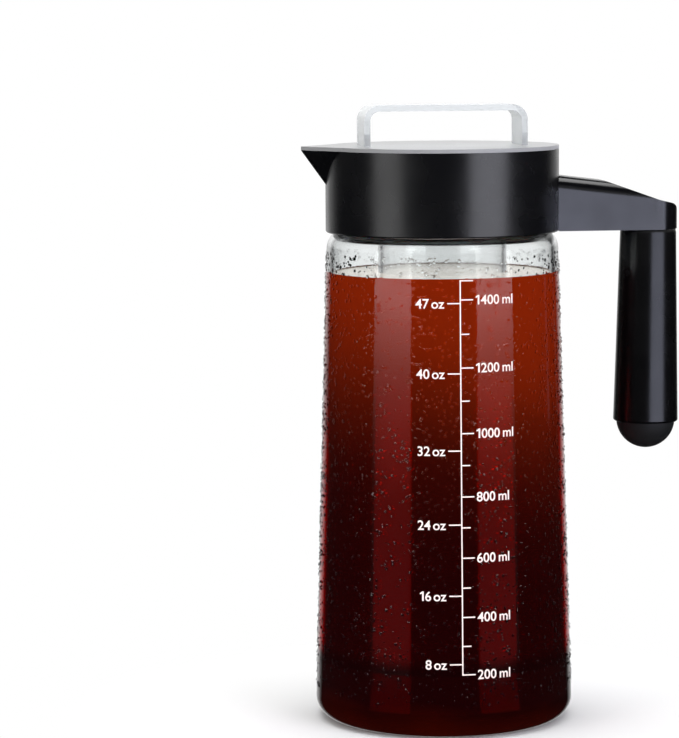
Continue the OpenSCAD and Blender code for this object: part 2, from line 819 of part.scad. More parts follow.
module lid_screws() {
  under = plate_z - plug_top_t;
  color([0.72, 0.73, 0.75])
    on_lid_screws() {
      translate([0, 0, under - lid_head_h])
        cylinder(h = lid_head_h, r = lid_head_r);
      translate([0, 0, under - eps])
        cylinder(h = plate_top + lid_screw_in - under + eps, r = lid_screw_d / 2);
    }
}

glass_carafe();
volume_scale();
collar();
neck_split_ring();
rim_gasket();
pour_deck();
handle_arm();
arm_screws();
arm_insert();
grip();
grip_bolt();
grip_washer();
grip_end_cap();
filter_frame();
filter_mesh();
base_seal();
filter_base();
base_mesh();
lid_plate();
lid_plug();
lid_seal();
lid_handle();
lid_screws();
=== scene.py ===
# %% [markdown]
# # A cold brew coffee maker, dressed for a studio picture
# The construction model gives exact solids in one fixed frame. This lesson gives each of them
# the look of the real material, and adds what a construction model leaves out: the brew in the
# jug, the dew on the cold glass, the figures of the scale and the weave of the filter.
# Lengths are written in millimetres and turned into metres once, by MM.

# %% Load the frame
import json
from math import acos, atan, ceil, cos, degrees, pi, radians, sin, sqrt, tan

import bmesh
import bpy
from mathutils import Matrix, Vector

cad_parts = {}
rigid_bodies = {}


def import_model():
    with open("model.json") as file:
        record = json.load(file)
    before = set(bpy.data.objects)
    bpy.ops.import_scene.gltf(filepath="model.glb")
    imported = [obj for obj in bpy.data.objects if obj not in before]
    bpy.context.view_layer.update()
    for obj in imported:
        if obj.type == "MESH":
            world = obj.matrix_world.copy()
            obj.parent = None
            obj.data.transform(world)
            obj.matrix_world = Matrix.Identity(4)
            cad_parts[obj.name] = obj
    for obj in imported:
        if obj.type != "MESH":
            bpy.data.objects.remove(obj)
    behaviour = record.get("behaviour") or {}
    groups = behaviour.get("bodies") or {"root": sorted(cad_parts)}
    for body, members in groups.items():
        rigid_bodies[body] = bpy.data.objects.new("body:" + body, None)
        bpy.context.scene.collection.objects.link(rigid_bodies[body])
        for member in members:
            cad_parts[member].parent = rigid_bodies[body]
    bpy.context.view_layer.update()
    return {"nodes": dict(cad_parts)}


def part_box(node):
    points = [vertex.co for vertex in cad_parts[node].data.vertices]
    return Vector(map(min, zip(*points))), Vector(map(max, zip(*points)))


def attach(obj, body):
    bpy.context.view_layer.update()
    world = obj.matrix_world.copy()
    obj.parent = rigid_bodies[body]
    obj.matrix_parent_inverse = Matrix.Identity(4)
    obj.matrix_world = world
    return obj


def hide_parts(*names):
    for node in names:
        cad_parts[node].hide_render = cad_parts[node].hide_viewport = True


MM = 0.001
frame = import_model()
nodes = frame["nodes"]


# %% [markdown]
# ## The camera
# The eye stands 1.4 m away, a little to the spout's side of the printed scale and a little
# above the lid. A long lens keeps the uprights parallel. The camera is rolled by less than half
# a degree, as one that is held a little off level.

# %% Camera
EYE = Vector((-202.8, -1366.6, 299.8)) * MM
HEADING = 6.608      # degrees from +Y towards +X
PITCH = 6.181        # degrees down
ROLL = -0.382        # degrees, anticlockwise
LENS, FILM = 158.13, 36        # mm, focal length and width of the film
FARTHEST = 60        # m, how far the camera sees
camera = bpy.data.objects.new("camera", bpy.data.cameras.new("camera"))
camera.data.lens = LENS
camera.data.sensor_width = FILM
camera.data.clip_end = FARTHEST
camera.location = EYE
level = Matrix.Rotation(radians(-HEADING), 4, "Z") @ Matrix.Rotation(radians(90 - PITCH), 4, "X")
camera.rotation_euler = (level @ Matrix.Rotation(radians(ROLL), 4, "Z")).to_euler()
bpy.context.scene.collection.objects.link(camera)
bpy.context.scene.camera = camera
print("camera lens", LENS, "mm, distance", round(EYE.length, 2), "m")

# %% [markdown]
# ## Small helpers
# Colours are written as a designer writes them, in sRGB hex, and one function turns them to the
# linear values that a shader needs. One more function adds a node with its settings and links.

# %% Colour and node helpers
def shade(text, alpha=1.0):
    """sRGB hex to linear RGBA."""
    parts = [int(text[i:i + 2], 16) / 255 for i in (1, 3, 5)]
    linear = [c / 12.92 if c <= 0.04045 else ((c + 0.055) / 1.055) ** 2.4 for c in parts]
    return (*linear, alpha)


def put(tree, kind, inputs=None, **settings):
    """Adds a node. Inputs are plain values, or the sockets that feed them."""
    node = tree.nodes.new(kind)
    for name, value in settings.items():
        setattr(node, name, value)
    for key, value in (inputs or {}).items():
        if isinstance(value, bpy.types.NodeSocket):
            tree.links.new(value, node.inputs[key])
        else:
            node.inputs[key].default_value = value
    return node


def finish_of(name, **principled):
    """A new material with one Principled shader, its constant values set on its own sockets."""
    material = bpy.data.materials.new(name)
    material.use_nodes = True
    shader = material.node_tree.nodes["Principled BSDF"]
    for key, value in principled.items():
        shader.inputs[key.replace("_", " ")].default_value = value
    return material, material.node_tree, shader


def per_mm(size):
    """Texture scale whose cells are about size millimetres across."""
    return 1 / (size * MM)


def ramp(tree, value, low, high, to_low=0.0, to_high=1.0, smooth=False):
    """A Map Range node's output."""
    kind = "SMOOTHSTEP" if smooth else "LINEAR"
    node = put(tree, "ShaderNodeMapRange",
               {0: value, 1: low, 2: high, 3: to_low, 4: to_high}, interpolation_type=kind)
    return node.outputs[0]


def maths(tree, operation, a, b=0.0):
    """A Math node's output."""
    return put(tree, "ShaderNodeMath", {0: a, 1: b}, operation=operation).outputs[0]


def mirrored_ray(tree):
    """1 for light that some surface has mirrored, also where it came out through glass."""
    depth = put(tree, "ShaderNodeLightPath").outputs["Glossy Depth"]
    return maths(tree, "GREATER_THAN", depth, 0.5)


print("a mid grey in linear light:", round(shade("#808080")[0], 3))

# %% [markdown]
# ## Moulded black plastic
# Collar, spout and arm are injection-moulded ABS. The mould is polished to a satin, so the skin
# is smooth to the finger, but it carries a very fine orange peel and a little difference
# in gloss where the plastic flowed. That is what keeps a black part from looking painted on.

# %% Black plastics
FLOW_MM = 18         # mm, size of the areas that differ in gloss


def moulded(name, colour, roughness, peel_mm, peel_depth, gloss_change=0.04):
    """Moulded plastic: an even colour, a faint orange peel and a slow change of gloss."""
    material, tree, shader = finish_of(name, Base_Color=shade(colour), Roughness=roughness)
    place = put(tree, "ShaderNodeTexCoord").outputs["Object"]
    flow = put(tree, "ShaderNodeTexNoise", {"Vector": place, "Scale": per_mm(FLOW_MM),
                                            "Detail": 3.0})
    rough = ramp(tree, flow.outputs["Fac"], 0.3, 0.7, roughness - gloss_change,
                 roughness + gloss_change)
    tree.links.new(rough, shader.inputs["Roughness"])
    peel = put(tree, "ShaderNodeTexNoise",
               {"Vector": place, "Scale": per_mm(peel_mm), "Detail": 2.0})
    bump = put(tree, "ShaderNodeBump", {"Height": peel.outputs["Fac"], "Strength": 1.0,
                                        "Distance": peel_depth * MM})
    tree.links.new(bump.outputs["Normal"], shader.inputs["Normal"])
    return material


satin_abs = moulded("satin_black_abs", "#060609", 0.27, 0.9, 0.004)
arm_abs = moulded("satin_black_abs_arm", "#07070a", 0.23, 0.9, 0.005)
grip_abs = moulded("polished_black_abs_grip", "#050507", 0.26, 1.2, 0.004)
# The cap is matt, and its black is set lighter than the other blacks: in part painted light, for
# the light the floor throws up on it.
cap_abs = moulded("matt_black_abs_cap", "#18181a", 0.6, 0.5, 0.012)
inner_abs = moulded("matt_black_abs_inside", "#121214", 0.45, 0.5, 0.01)
print("black plastics:", satin_abs.name, arm_abs.name, grip_abs.name, cap_abs.name)


# %% [markdown]
# ## Metals
# The lid's plate is brushed stainless sheet: long fine scratches, all one way, so highlights
# smear across them. Screws, bolt and washer are bright turned steel. The insert is brass.
# Real scratches are hundredths of a millimetre wide; they are drawn 0.25 mm wide to show.

# %% Metals
SMOOTHER, ROUGHER = 0.08, 0.1      # what scratches take from the roughness, and add to it


def metal(name, colour, roughness, stretch, grain_mm, depth, cut_edge=0.0):
    """Metal with scratches: noise drawn out by stretch along each axis. cut_edge is the least
    roughness of upright faces, for sheet with a sawn edge."""
    material, tree, shader = finish_of(name, Base_Color=shade(colour), Roughness=roughness,
                                       Metallic=1.0)
    place = put(tree, "ShaderNodeTexCoord").outputs["Object"]
    drawn = put(tree, "ShaderNodeMapping", {"Vector": place, "Scale": stretch}).outputs[0]
    lines = put(tree, "ShaderNodeTexNoise",
                {"Vector": drawn, "Scale": per_mm(grain_mm), "Detail": 4.0, "Roughness": 0.65})
    rough = ramp(tree, lines.outputs["Fac"], 0.3, 0.7, roughness - SMOOTHER, roughness + ROUGHER)
    if cut_edge:
        normal = put(tree, "ShaderNodeNewGeometry").outputs["Normal"]
        upward = put(tree, "ShaderNodeSeparateXYZ", {0: normal}).outputs["Z"]
        level = maths(tree, "ABSOLUTE", upward)
        rough = maths(tree, "MAXIMUM", rough, ramp(tree, level, 0.3, 0.9, cut_edge, 0.0))
    tree.links.new(rough, shader.inputs["Roughness"])
    bump = put(tree, "ShaderNodeBump", {"Height": lines.outputs["Fac"], "Strength": 1.0,
                                        "Distance": depth * MM})
    tree.links.new(bump.outputs["Normal"], shader.inputs["Normal"])
    return material


brushed_steel = metal("brushed_stainless_sheet", "#d6d6d7", 0.34, (0.02, 1, 1), 0.25, 0.01,
                      cut_edge=0.9)
turned_steel = metal("turned_stainless", "#b9babd", 0.3, (1, 1, 6), 0.3, 0.006)
turned_brass = metal("turned_brass", "#c9a35a", 0.3, (1, 1, 6), 0.3, 0.006)
wire_steel = metal("drawn_steel_wire", "#a9abae", 0.35, (1, 1, 1), 0.4, 0.004)
print("metals:", brushed_steel.name, turned_steel.name, turned_brass.name, wire_steel.name)


# %% [markdown]
# ## Soft and printed parts
# Gasket, lid seal and base seal are milky silicone: no gloss, a little light goes in. The scale
# is fired ceramic ink, a dense white with a slightly chalky skin; it glows a little too, painted
# light that keeps the figures bright. It is left out of mirror images, where it would show as a
# red ghost behind every figure.

# %% Silicone and ink
def milky_silicone():
    material, tree, shader = finish_of(
        "milky_silicone", Base_Color=shade("#dcdbd4"), Roughness=0.5,
        Subsurface_Weight=0.3, Subsurface_Scale=1.5 * MM, Specular_IOR_Level=0.4)
    place = put(tree, "ShaderNodeTexCoord").outputs["Object"]
    skin = put(tree, "ShaderNodeTexNoise", {"Vector": place, "Scale": per_mm(0.6), "Detail": 2.0})
    cloud = put(tree, "ShaderNodeTexNoise", {"Vector": place, "Scale": per_mm(9), "Detail": 2.0})
    tone = put(tree, "ShaderNodeMix", {0: cloud.outputs["Fac"], 6: shade("#d6d5cd"),
                                       7: shade("#e3e2dc")}, data_type="RGBA")
    tree.links.new(tone.outputs[2], shader.inputs["Base Color"])
    bump = put(tree, "ShaderNodeBump", {"Height": skin.outputs["Fac"], "Strength": 1.0,
                                        "Distance": 0.01 * MM})
    tree.links.new(bump.outputs["Normal"], shader.inputs["Normal"])
    return material


def fired_ink():
    # The ink glows a little in its own tone: painted light, though it is no lamp.
    material, tree, shader = finish_of("white_fired_ink", Roughness=0.45,
                                       Emission_Strength=0.25)
    place = put(tree, "ShaderNodeTexCoord").outputs["Object"]
    chalk = put(tree, "ShaderNodeTexNoise", {"Vector": place, "Scale": per_mm(0.5),
                                             "Detail": 3.0})
    tone = put(tree, "ShaderNodeMix", {0: chalk.outputs["Fac"], 6: shade("#e6d2cf"),
                                       7: shade("#f6eae8")}, data_type="RGBA")
    tree.links.new(tone.outputs[2], shader.inputs["Base Color"])
    tree.links.new(tone.outputs[2], shader.inputs["Emission Color"])
    open_way = put(tree, "ShaderNodeBsdfTransparent")
    both = put(tree, "ShaderNodeMixShader", {0: mirrored_ray(tree), 1: shader.outputs[0],
                                             2: open_way.outputs[0]})
    tree.links.new(both.outputs[0], tree.nodes["Material Output"].inputs["Surface"])
    return material


silicone = milky_silicone()
ink = fired_ink()
print("soft and printed:", silicone.name, ink.name)


# %% [markdown]
# ## Clear parts
# Glass and clear plastics bend what is behind them, so they need real thickness and a
# refractive index: 1.47 for borosilicate glass, 1.49 for the acrylic strap of the lid,
# 1.52 for the filter's copolyester.

# %% Clear materials
WATER_IOR = 1.333
FOG_PATCH_MM = 14    # mm, size of the patches of fog


def clear(name, tint, ior, roughness=0.0, fog=None, veil=None, mirror=0.5, under=None):
    """A clear material. fog is a bump (cell in mm, depth in mm), veil a milky share, under the
    refractive index of what lies on it in places: it mirrors nothing there."""
    material, tree, shader = finish_of(name, Base_Color=shade(tint), Roughness=roughness,
                                       Transmission_Weight=1.0, IOR=ior,
                                       Specular_IOR_Level=mirror)
    place = put(tree, "ShaderNodeTexCoord").outputs["Object"]
    if fog:
        cell, depth = fog
        beads = put(tree, "ShaderNodeTexNoise",
                    {"Vector": place, "Scale": per_mm(cell), "Detail": 1.0})
        patch = put(tree, "ShaderNodeTexNoise", {"Vector": place, "Scale": per_mm(FOG_PATCH_MM)})
        height = maths(tree, "MULTIPLY", beads.outputs["Fac"],
                       ramp(tree, patch.outputs["Fac"], 0.35, 0.65, 0.2, 1.0))
        bump = put(tree, "ShaderNodeBump", {"Height": height, "Strength": 1.0,
                                            "Distance": depth * MM})
        tree.links.new(bump.outputs["Normal"], shader.inputs["Normal"])
    body = shader.outputs[0]
    if veil:
        milk = put(tree, "ShaderNodeBsdfDiffuse", {"Color": shade("#dcdedf")})
        body = put(tree, "ShaderNodeMixShader", {0: veil, 1: body, 2: milk.outputs[0]}).outputs[0]
    rays = put(tree, "ShaderNodeLightPath")
    if under:
        crossed = maths(tree, "COMPARE", rays.outputs["Transmission Depth"], 1.0)
        front = maths(tree, "SUBTRACT", 1.0,
                      put(tree, "ShaderNodeNewGeometry").outputs["Backfacing"])
        wet = put(tree, "ShaderNodeBsdfRefraction", {"Color": shade(tint), "IOR": ior / under})
        body = put(tree, "ShaderNodeMixShader", {0: maths(tree, "MULTIPLY", crossed, front),
                                                 1: body, 2: wet.outputs[0]}).outputs[0]
    passing = maths(tree, "MAXIMUM", rays.outputs["Is Shadow Ray"], rays.outputs["Is Diffuse Ray"])
    straight = put(tree, "ShaderNodeBsdfTransparent", {"Color": shade("#f2f4f4")})
    both = put(tree, "ShaderNodeMixShader", {0: passing, 1: body, 2: straight.outputs[0]})
    tree.links.new(both.outputs[0], tree.nodes["Material Output"].inputs["Surface"])
    return material


jug_glass = clear("borosilicate_glass", "#fbfdfd", 1.47, fog=(0.5, 0.006), under=WATER_IOR)
strap_acrylic = clear("polished_acrylic", "#eef1f2", 1.49, roughness=0.12, veil=0.42)
filter_plastic = clear("clear_copolyester", "#f9fafa", 1.52, roughness=0.05, veil=0.03)
dew_water = clear("dew_water", "#ffffff", WATER_IOR, mirror=0.15)
print("clear:", jug_glass.name, strap_acrylic.name, filter_plastic.name, dew_water.name)


# %% [markdown]
# ## Cold brew
# Brewed coffee is nearly opaque in a wide jug. Light gets into its upper part from around the
# lid, so it is orange-brown there, falls to near black in the middle and warms again at the foot,
# where the base lets light in. That light and shade is painted: into the brew's colour, and into
# a glow of the brew, though it is no lamp. Deep down, each further step takes the same share of
# the painted light, as in any cloudy liquid, and near the top the brew can't get brighter than
# its lit colour: one smooth curve of the height says both. The painted light is tilted a little
# towards the grip, where more light comes in. Its skin mirrors the room in red. A bead of dew
# bends that mirror image away and gathers light from the sides: what is seen through a bead, and
# so through three surfaces, is painted as a brighter glow without a mirror. The top of the liquid
# glows with a painted pale sheen where it is seen at a low angle, as all still water is pale.

# %% Brew tones
BREW_TOP = 192.0     # mm, height of the liquid
# The three brew colours below are painted light and shade: lit from above, shaded, lit from the
# base.
LIT_BREW = "#892306"           # brew that light from above fills
SHADED_BREW = "#130102"         # brew that hardly any light reaches
FOOT_BREW = "#300400"          # brew that the base lights
HALF_LIT = 148       # mm, height at which half of the light is left
LIGHT_FADE = 18      # mm, depth in which the light shrinks to 1/e, far down
FOOT_GLOW = 14       # mm, height that light from the base reaches
print("brew: filled to", BREW_TOP, "mm, half lit at", HALF_LIT, "mm")

# %% Brew material
# Clouds and tilt move the painted light and shade up or down; the tilt lets it reach lower towards
# the grip.
CLOUD_MM, CLOUD_SHIFT = 45, 4      # mm, size of clouds in the brew, and how far they lift a tone
TILT = 0.28                        # mm that a tone reaches lower for each mm towards the grip
TILT_FROM, TILT_FULL = 30, 90      # mm, heights between which that rise sets in
# The brew glows though it is no lamp: that glow is painted light, from the same lit and shaded
# tones.
LIT_SHARE = 0.2                    # share of a tone that the lamps light; the rest glows
GLOW, BEAD_GLOW = 0.83, 1.25       # strength of the glow, bare and under a bead
MIRROR_FULL, MIRROR_GONE, MIRROR_LEFT = 95, 165, 0.04      # mm, mm, share left above
FOOT_BLIND, FOOT_CLEAR, FOOT_MIRROR = 27, 35, 0.012        # mm, mm, share left below
BACK_FADE, BACK_MIRROR = 20, 0.1   # mm towards the back, share left there
# Painted glow of the liquid's top: dark brown seen from above, and a pale painted sheen, for the
# room's mirror image, seen at a low angle.
STEEP_TOP_GLOW, PAINTED_TOP_SHEEN = "#2a0e05", "#9c9488"
BEAD_DEPTH = 2.5                   # more surfaces than this lie before brew under a bead


def brew_material():
    material, tree, shader = finish_of(
        "cold_brew_coffee", Roughness=0.04, IOR=4.0, Specular_Tint=shade("#ff1206"))
    place = put(tree, "ShaderNodeTexCoord").outputs["Object"]
    across, along, height = put(tree, "ShaderNodeSeparateXYZ", {0: place}).outputs
    cloud = put(tree, "ShaderNodeTexNoise", {"Vector": place, "Scale": per_mm(CLOUD_MM),
                                             "Detail": 2.0})
    drift = ramp(tree, cloud.outputs["Fac"], 0.3, 0.7, -CLOUD_SHIFT * MM, CLOUD_SHIFT * MM)
    tilt = ramp(tree, height, TILT_FROM * MM, TILT_FULL * MM, 0.0, TILT)
    drift = maths(tree, "ADD", drift, maths(tree, "MULTIPLY", across, tilt))
    level = maths(tree, "ADD", height, drift)
    # Painted light and shade: lit is the share of light left at this height, mixing shaded and lit
    # brew; the foot is painted lit by the base.
    lost = maths(tree, "DIVIDE", maths(tree, "SUBTRACT", HALF_LIT * MM, level), LIGHT_FADE * MM)
    lit = maths(tree, "DIVIDE", 1.0, maths(tree, "ADD", 1.0, maths(tree, "EXPONENT", lost)))
    body = put(tree, "ShaderNodeMix", {0: lit, 6: shade(SHADED_BREW), 7: shade(LIT_BREW)},
               data_type="RGBA").outputs[2]
    foot = ramp(tree, level, 0.0, FOOT_GLOW * MM, 1.0, 0.0)
    tones = put(tree, "ShaderNodeMix", {0: foot, 6: body, 7: shade(FOOT_BREW)},
                data_type="RGBA").outputs[2]
    dim = put(tree, "ShaderNodeMix", {0: LIT_SHARE, 6: shade("#000000"), 7: tones},
              data_type="RGBA")
    tree.links.new(dim.outputs[2], shader.inputs["Base Color"])
    # The liquid's top glows with a painted sheen: dark seen from above, pale where seen at a low
    # angle.
    normal = put(tree, "ShaderNodeNewGeometry").outputs["Normal"]
    upward = put(tree, "ShaderNodeSeparateXYZ", {0: normal}).outputs["Z"]
    surface = ramp(tree, upward, 0.2, 0.6, smooth=True)
    grazing = put(tree, "ShaderNodeLayerWeight", {"Blend": 0.5}).outputs["Facing"]
    sheen = put(tree, "ShaderNodeMix",
                {0: ramp(tree, grazing, 0.7, 0.88), 6: shade(STEEP_TOP_GLOW),
                 7: shade(PAINTED_TOP_SHEEN)}, data_type="RGBA").outputs[2]
    both = put(tree, "ShaderNodeMix", {0: surface, 6: tones, 7: sheen},
               data_type="RGBA").outputs[2]
    first = maths(tree, "SUBTRACT", 1.0, mirrored_ray(tree))
    glow = put(tree, "ShaderNodeMix", {0: first, 6: shade("#000000"), 7: both},
               data_type="RGBA")
    tree.links.new(glow.outputs[2], shader.inputs["Emission Color"])
    gloss = maths(tree, "MULTIPLY",
                  ramp(tree, height, MIRROR_FULL * MM, MIRROR_GONE * MM, 1.0, MIRROR_LEFT, True),
                  ramp(tree, height, FOOT_BLIND * MM, FOOT_CLEAR * MM, FOOT_MIRROR, 1.0, True))
    gloss = maths(tree, "MULTIPLY", gloss,
                  ramp(tree, along, 0.0, BACK_FADE * MM, 1.0, BACK_MIRROR))
    # Under a bead, three surfaces deep, the glow is painted brighter and the mirror is taken away.
    depth = put(tree, "ShaderNodeLightPath").outputs["Transmission Depth"]
    beaded = maths(tree, "MULTIPLY", maths(tree, "GREATER_THAN", depth, BEAD_DEPTH),
                   maths(tree, "SUBTRACT", 1.0, surface))
    tree.links.new(maths(tree, "MULTIPLY", gloss, maths(tree, "SUBTRACT", 1.0, beaded)),
                   shader.inputs["Specular IOR Level"])
    tree.links.new(ramp(tree, beaded, 0.0, 1.0, GLOW, BEAD_GLOW),
                   shader.inputs["Emission Strength"])
    return material


cold_brew = brew_material()
print("brew:", cold_brew.name)

# %% [markdown]
# ## One tree for every turned piece
# Jug, liquid, grip and cap are all bodies of revolution: an outline carried round an axis. A
# Geometry Nodes tree does it: the outline is swept round a circle, whose radius is taken off
# the outline first. One tree serves them all, with the number of steps round as an input.

# %% Turning tree
SAME = 0.0005 * MM   # points nearer to each other than this are one point


def new_tree(name, wanted):
    """An empty Geometry Nodes tree with named inputs."""
    tree = bpy.data.node_groups.new(name, "GeometryNodeTree")
    tree.interface.new_socket("Geometry", in_out="INPUT", socket_type="NodeSocketGeometry")
    for label, kind in wanted:
        tree.interface.new_socket(label, in_out="INPUT", socket_type="NodeSocket" + kind)
    tree.interface.new_socket("Geometry", in_out="OUTPUT", socket_type="NodeSocketGeometry")
    return tree, put(tree, "NodeGroupInput").outputs


def end_tree(tree, geometry, material):
    """Every tree ends alike: real geometry, with its material."""
    real = put(tree, "GeometryNodeRealizeInstances", {0: geometry})
    dressed = put(tree, "GeometryNodeSetMaterial", {"Geometry": real.outputs[0],
                                                    "Material": material})
    put(tree, "NodeGroupOutput", {0: dressed.outputs[0]})
    return tree


def turning_tree():
    tree, given = new_tree("turned_piece", [("Path radius", "Float"), ("Steps", "Int"),
                                            ("Material", "Material")])
    outline = put(tree, "GeometryNodeMeshToCurve", {0: given["Geometry"]})
    spot = put(tree, "ShaderNodeSeparateXYZ",
               {0: put(tree, "GeometryNodeInputPosition").outputs[0]})
    out = maths(tree, "SUBTRACT", spot.outputs["X"], given["Path radius"])
    down = maths(tree, "MULTIPLY", spot.outputs["Z"], -1.0)
    flat = put(tree, "ShaderNodeCombineXYZ", {"X": out, "Y": down})
    laid = put(tree, "GeometryNodeSetPosition", {"Geometry": outline.outputs[0],
                                                 "Position": flat.outputs[0]})
    path = put(tree, "GeometryNodeCurvePrimitiveCircle",
               {"Resolution": given["Steps"], "Radius": given["Path radius"]})
    upright = put(tree, "GeometryNodeSetCurveNormal", {0: path.outputs[0]}, mode="Z_UP")
    swept = put(tree, "GeometryNodeCurveToMesh", {"Curve": upright.outputs[0],
                                                  "Profile Curve": laid.outputs[0]})
    merged = put(tree, "GeometryNodeMergeByDistance", {0: swept.outputs[0], "Distance": SAME})
    return end_tree(tree, merged.outputs[0], given["Material"])


TURNING = turning_tree()
print("tree:", TURNING.name, [s.name for s in TURNING.interface.items_tree])


# %% Running a tree and keeping a plain mesh
def grow(name, base, tree, **values):
    """Runs a tree on a base mesh and returns a plain mesh object."""
    holder = bpy.data.objects.new(name + "_base", base)
    bpy.context.scene.collection.objects.link(holder)
    modifier = holder.modifiers.new("grow", "NODES")
    modifier.node_group = tree
    for item in tree.interface.items_tree:
        if item.in_out == "INPUT" and item.name.replace(" ", "_") in values:
            modifier[item.identifier] = values[item.name.replace(" ", "_")]
    graph = bpy.context.evaluated_depsgraph_get()
    mesh = bpy.data.meshes.new_from_object(holder.evaluated_get(graph))
    bpy.data.objects.remove(holder)
    return plain(name, mesh)


def plain(name, mesh, crease=30):
    """Links a mesh as an object, closed and facing outwards, smooth up to a crease angle."""
    work = bmesh.new()
    work.from_mesh(mesh)
    bmesh.ops.remove_doubles(work, verts=work.verts, dist=SAME)
    bmesh.ops.recalc_face_normals(work, faces=work.faces)
    work.to_mesh(mesh)
    work.free()
    mesh.shade_smooth()
    mesh.set_sharp_from_angle(angle=radians(crease))
    mesh.name = name
    piece = bpy.data.objects.new(name, mesh)
    bpy.context.scene.collection.objects.link(piece)
    loose = sum(1 for e in mesh.edges if e.is_loose)
    print(f"{name}: {len(mesh.polygons)} faces, loose edges {loose}")
    return piece


def even_shading(piece):
    """Weights normals by face area, so that a long wall isn't bent by the small round beside it."""
    weigh = piece.modifiers.new("even", "WEIGHTED_NORMAL")
    weigh.mode = "FACE_AREA"
    weigh.weight = 100
    weigh.keep_sharp = True
    graph = bpy.context.evaluated_depsgraph_get()
    mesh = bpy.data.meshes.new_from_object(piece.evaluated_get(graph))
    piece.modifiers.remove(weigh)
    piece.data = mesh


PATH_R = 0.2         # m, radius of the circle that an outline is swept round


def turn(name, points, material, steps=192, closed=True):
    """Turns an outline of (radius, height) in mm round the Z axis."""
    base = bpy.data.meshes.new(name + "_outline")
    last = len(points) - 1
    edges = [(i, i + 1) for i in range(last)] + ([(last, 0)] if closed else [])
    base.from_pydata([(r * MM, 0, z * MM) for r, z in points], edges, [])
    piece = grow(name, base, TURNING, Path_radius=PATH_R, Steps=steps, Material=material)
    even_shading(piece)
    return piece


def arc(x, y, r, start, end, steps=12):
    """Points of an arc, angles in degrees."""
    turns = [radians(start + (end - start) * i / steps) for i in range(steps + 1)]
    return [(x + r * cos(a), y + r * sin(a)) for a in turns]


# %% [markdown]
# ## The glass jug
# Mould-blown borosilicate glass, 2.8 mm thick, which widens gently to the foot. The construction
# model has its outline. Here the base gets what blowing leaves: a shallow push-up in
# the middle, so that it stands on a ring, and a thicker heel that gathers light.

# %% Jug sizes
FOOT_R, FOOT_BEND = 55.1, 9.0                    # mm, radius of the foot and bend of its heel
TOP_R, SHOULDER_Z, SHOULDER_BEND = 49.4, 202.0, 8.5      # mm, where the wall bends to the neck
WALL, BASE = 2.8, 4.0                            # mm of glass
NECK_R, RIM_Z = 43.8, 217.99                     # mm, radius of the neck and height of the rim
BEAD_Z, BEAD_R, BEAD_BEND = 213.99, 45.5, 1.2    # mm, the thick bead under the rim
PUSH_UP = [(0, 1.1), (14, 0.95), (28, 0.5)]      # mm, radius and height under the base
STAND = (41, 0.02)                               # mm, inner edge of the ring it stands on
LEAN = degrees(atan((FOOT_R - TOP_R) / (SHOULDER_Z - FOOT_BEND)))
SHOULDER_TURN = degrees(acos(1 - (TOP_R - NECK_R) / SHOULDER_BEND))
LOW_R = FOOT_R - FOOT_BEND * (1 - cos(radians(LEAN)))
LOW_Z = FOOT_BEND * (1 + sin(radians(LEAN)))
HIGH_R = TOP_R - SHOULDER_BEND * (1 - cos(radians(LEAN)))
HIGH_Z = SHOULDER_Z + SHOULDER_BEND * sin(radians(LEAN))


def skin_r(z):
    """Outside radius of the jug at height z, on its straight wall."""
    return LOW_R + (HIGH_R - LOW_R) * (z - LOW_Z) / (HIGH_Z - LOW_Z)


print("wall lean", round(LEAN, 2), "degrees")

# %% Jug
outside = PUSH_UP + [(36, 0.16), STAND]
outside += arc(FOOT_R - FOOT_BEND, FOOT_BEND, FOOT_BEND, -90, LEAN, 20)
outside += arc(TOP_R - SHOULDER_BEND, SHOULDER_Z, SHOULDER_BEND, LEAN, SHOULDER_TURN, 16)
outside += [(NECK_R, BEAD_Z)]
outside += arc(BEAD_R - BEAD_BEND, BEAD_Z + BEAD_BEND, BEAD_BEND, -90, 0, 6)
outside += arc(BEAD_R - BEAD_BEND, RIM_Z - BEAD_BEND, BEAD_BEND, 0, 90, 6)
neck_z = SHOULDER_Z + SHOULDER_BEND * sin(radians(SHOULDER_TURN))
in_bend = FOOT_BEND - WALL
hollow = [(NECK_R - WALL, RIM_Z), (NECK_R - WALL, neck_z)]
hollow += arc(TOP_R - SHOULDER_BEND, SHOULDER_Z, SHOULDER_BEND - WALL, SHOULDER_TURN, LEAN, 12)
hollow += arc(FOOT_R - WALL - in_bend, BASE + in_bend, in_bend, LEAN, -90, 16)
hollow += [(36, BASE + 0.05), (28, BASE + 0.3), (14, BASE + 0.7), (0, BASE + 0.8)]
jug = turn("jug_glass", outside + hollow, jug_glass, closed=False)
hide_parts("glass_carafe")
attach(jug, "carafe")

# %% [markdown]
# ## The brew
# A closed body of liquid that follows the inside of the glass and reaches a hair into its wall,
# so that no air is left between them: that is why glass and coffee are seen as one body, filled
# to its very edge. At the foot it reaches almost to the outside of the thick heel. At the
# top it climbs the glass a little, as water does.

# %% Brew
BITE = 0.05          # mm that the liquid reaches into the wall
SKIN = 0.35          # mm of wall that is left outside the liquid, at the foot
FULL_Z, FREE_Z = 12.0, 26.0    # mm, heights between which the liquid leaves the heel
CLIMB = 0.35         # mm that the edge of the liquid climbs up the glass


def inner_r(z):
    """Radius of the liquid at height z, where it lies against the straight wall."""
    return skin_r(z) - WALL / cos(radians(LEAN)) + BITE


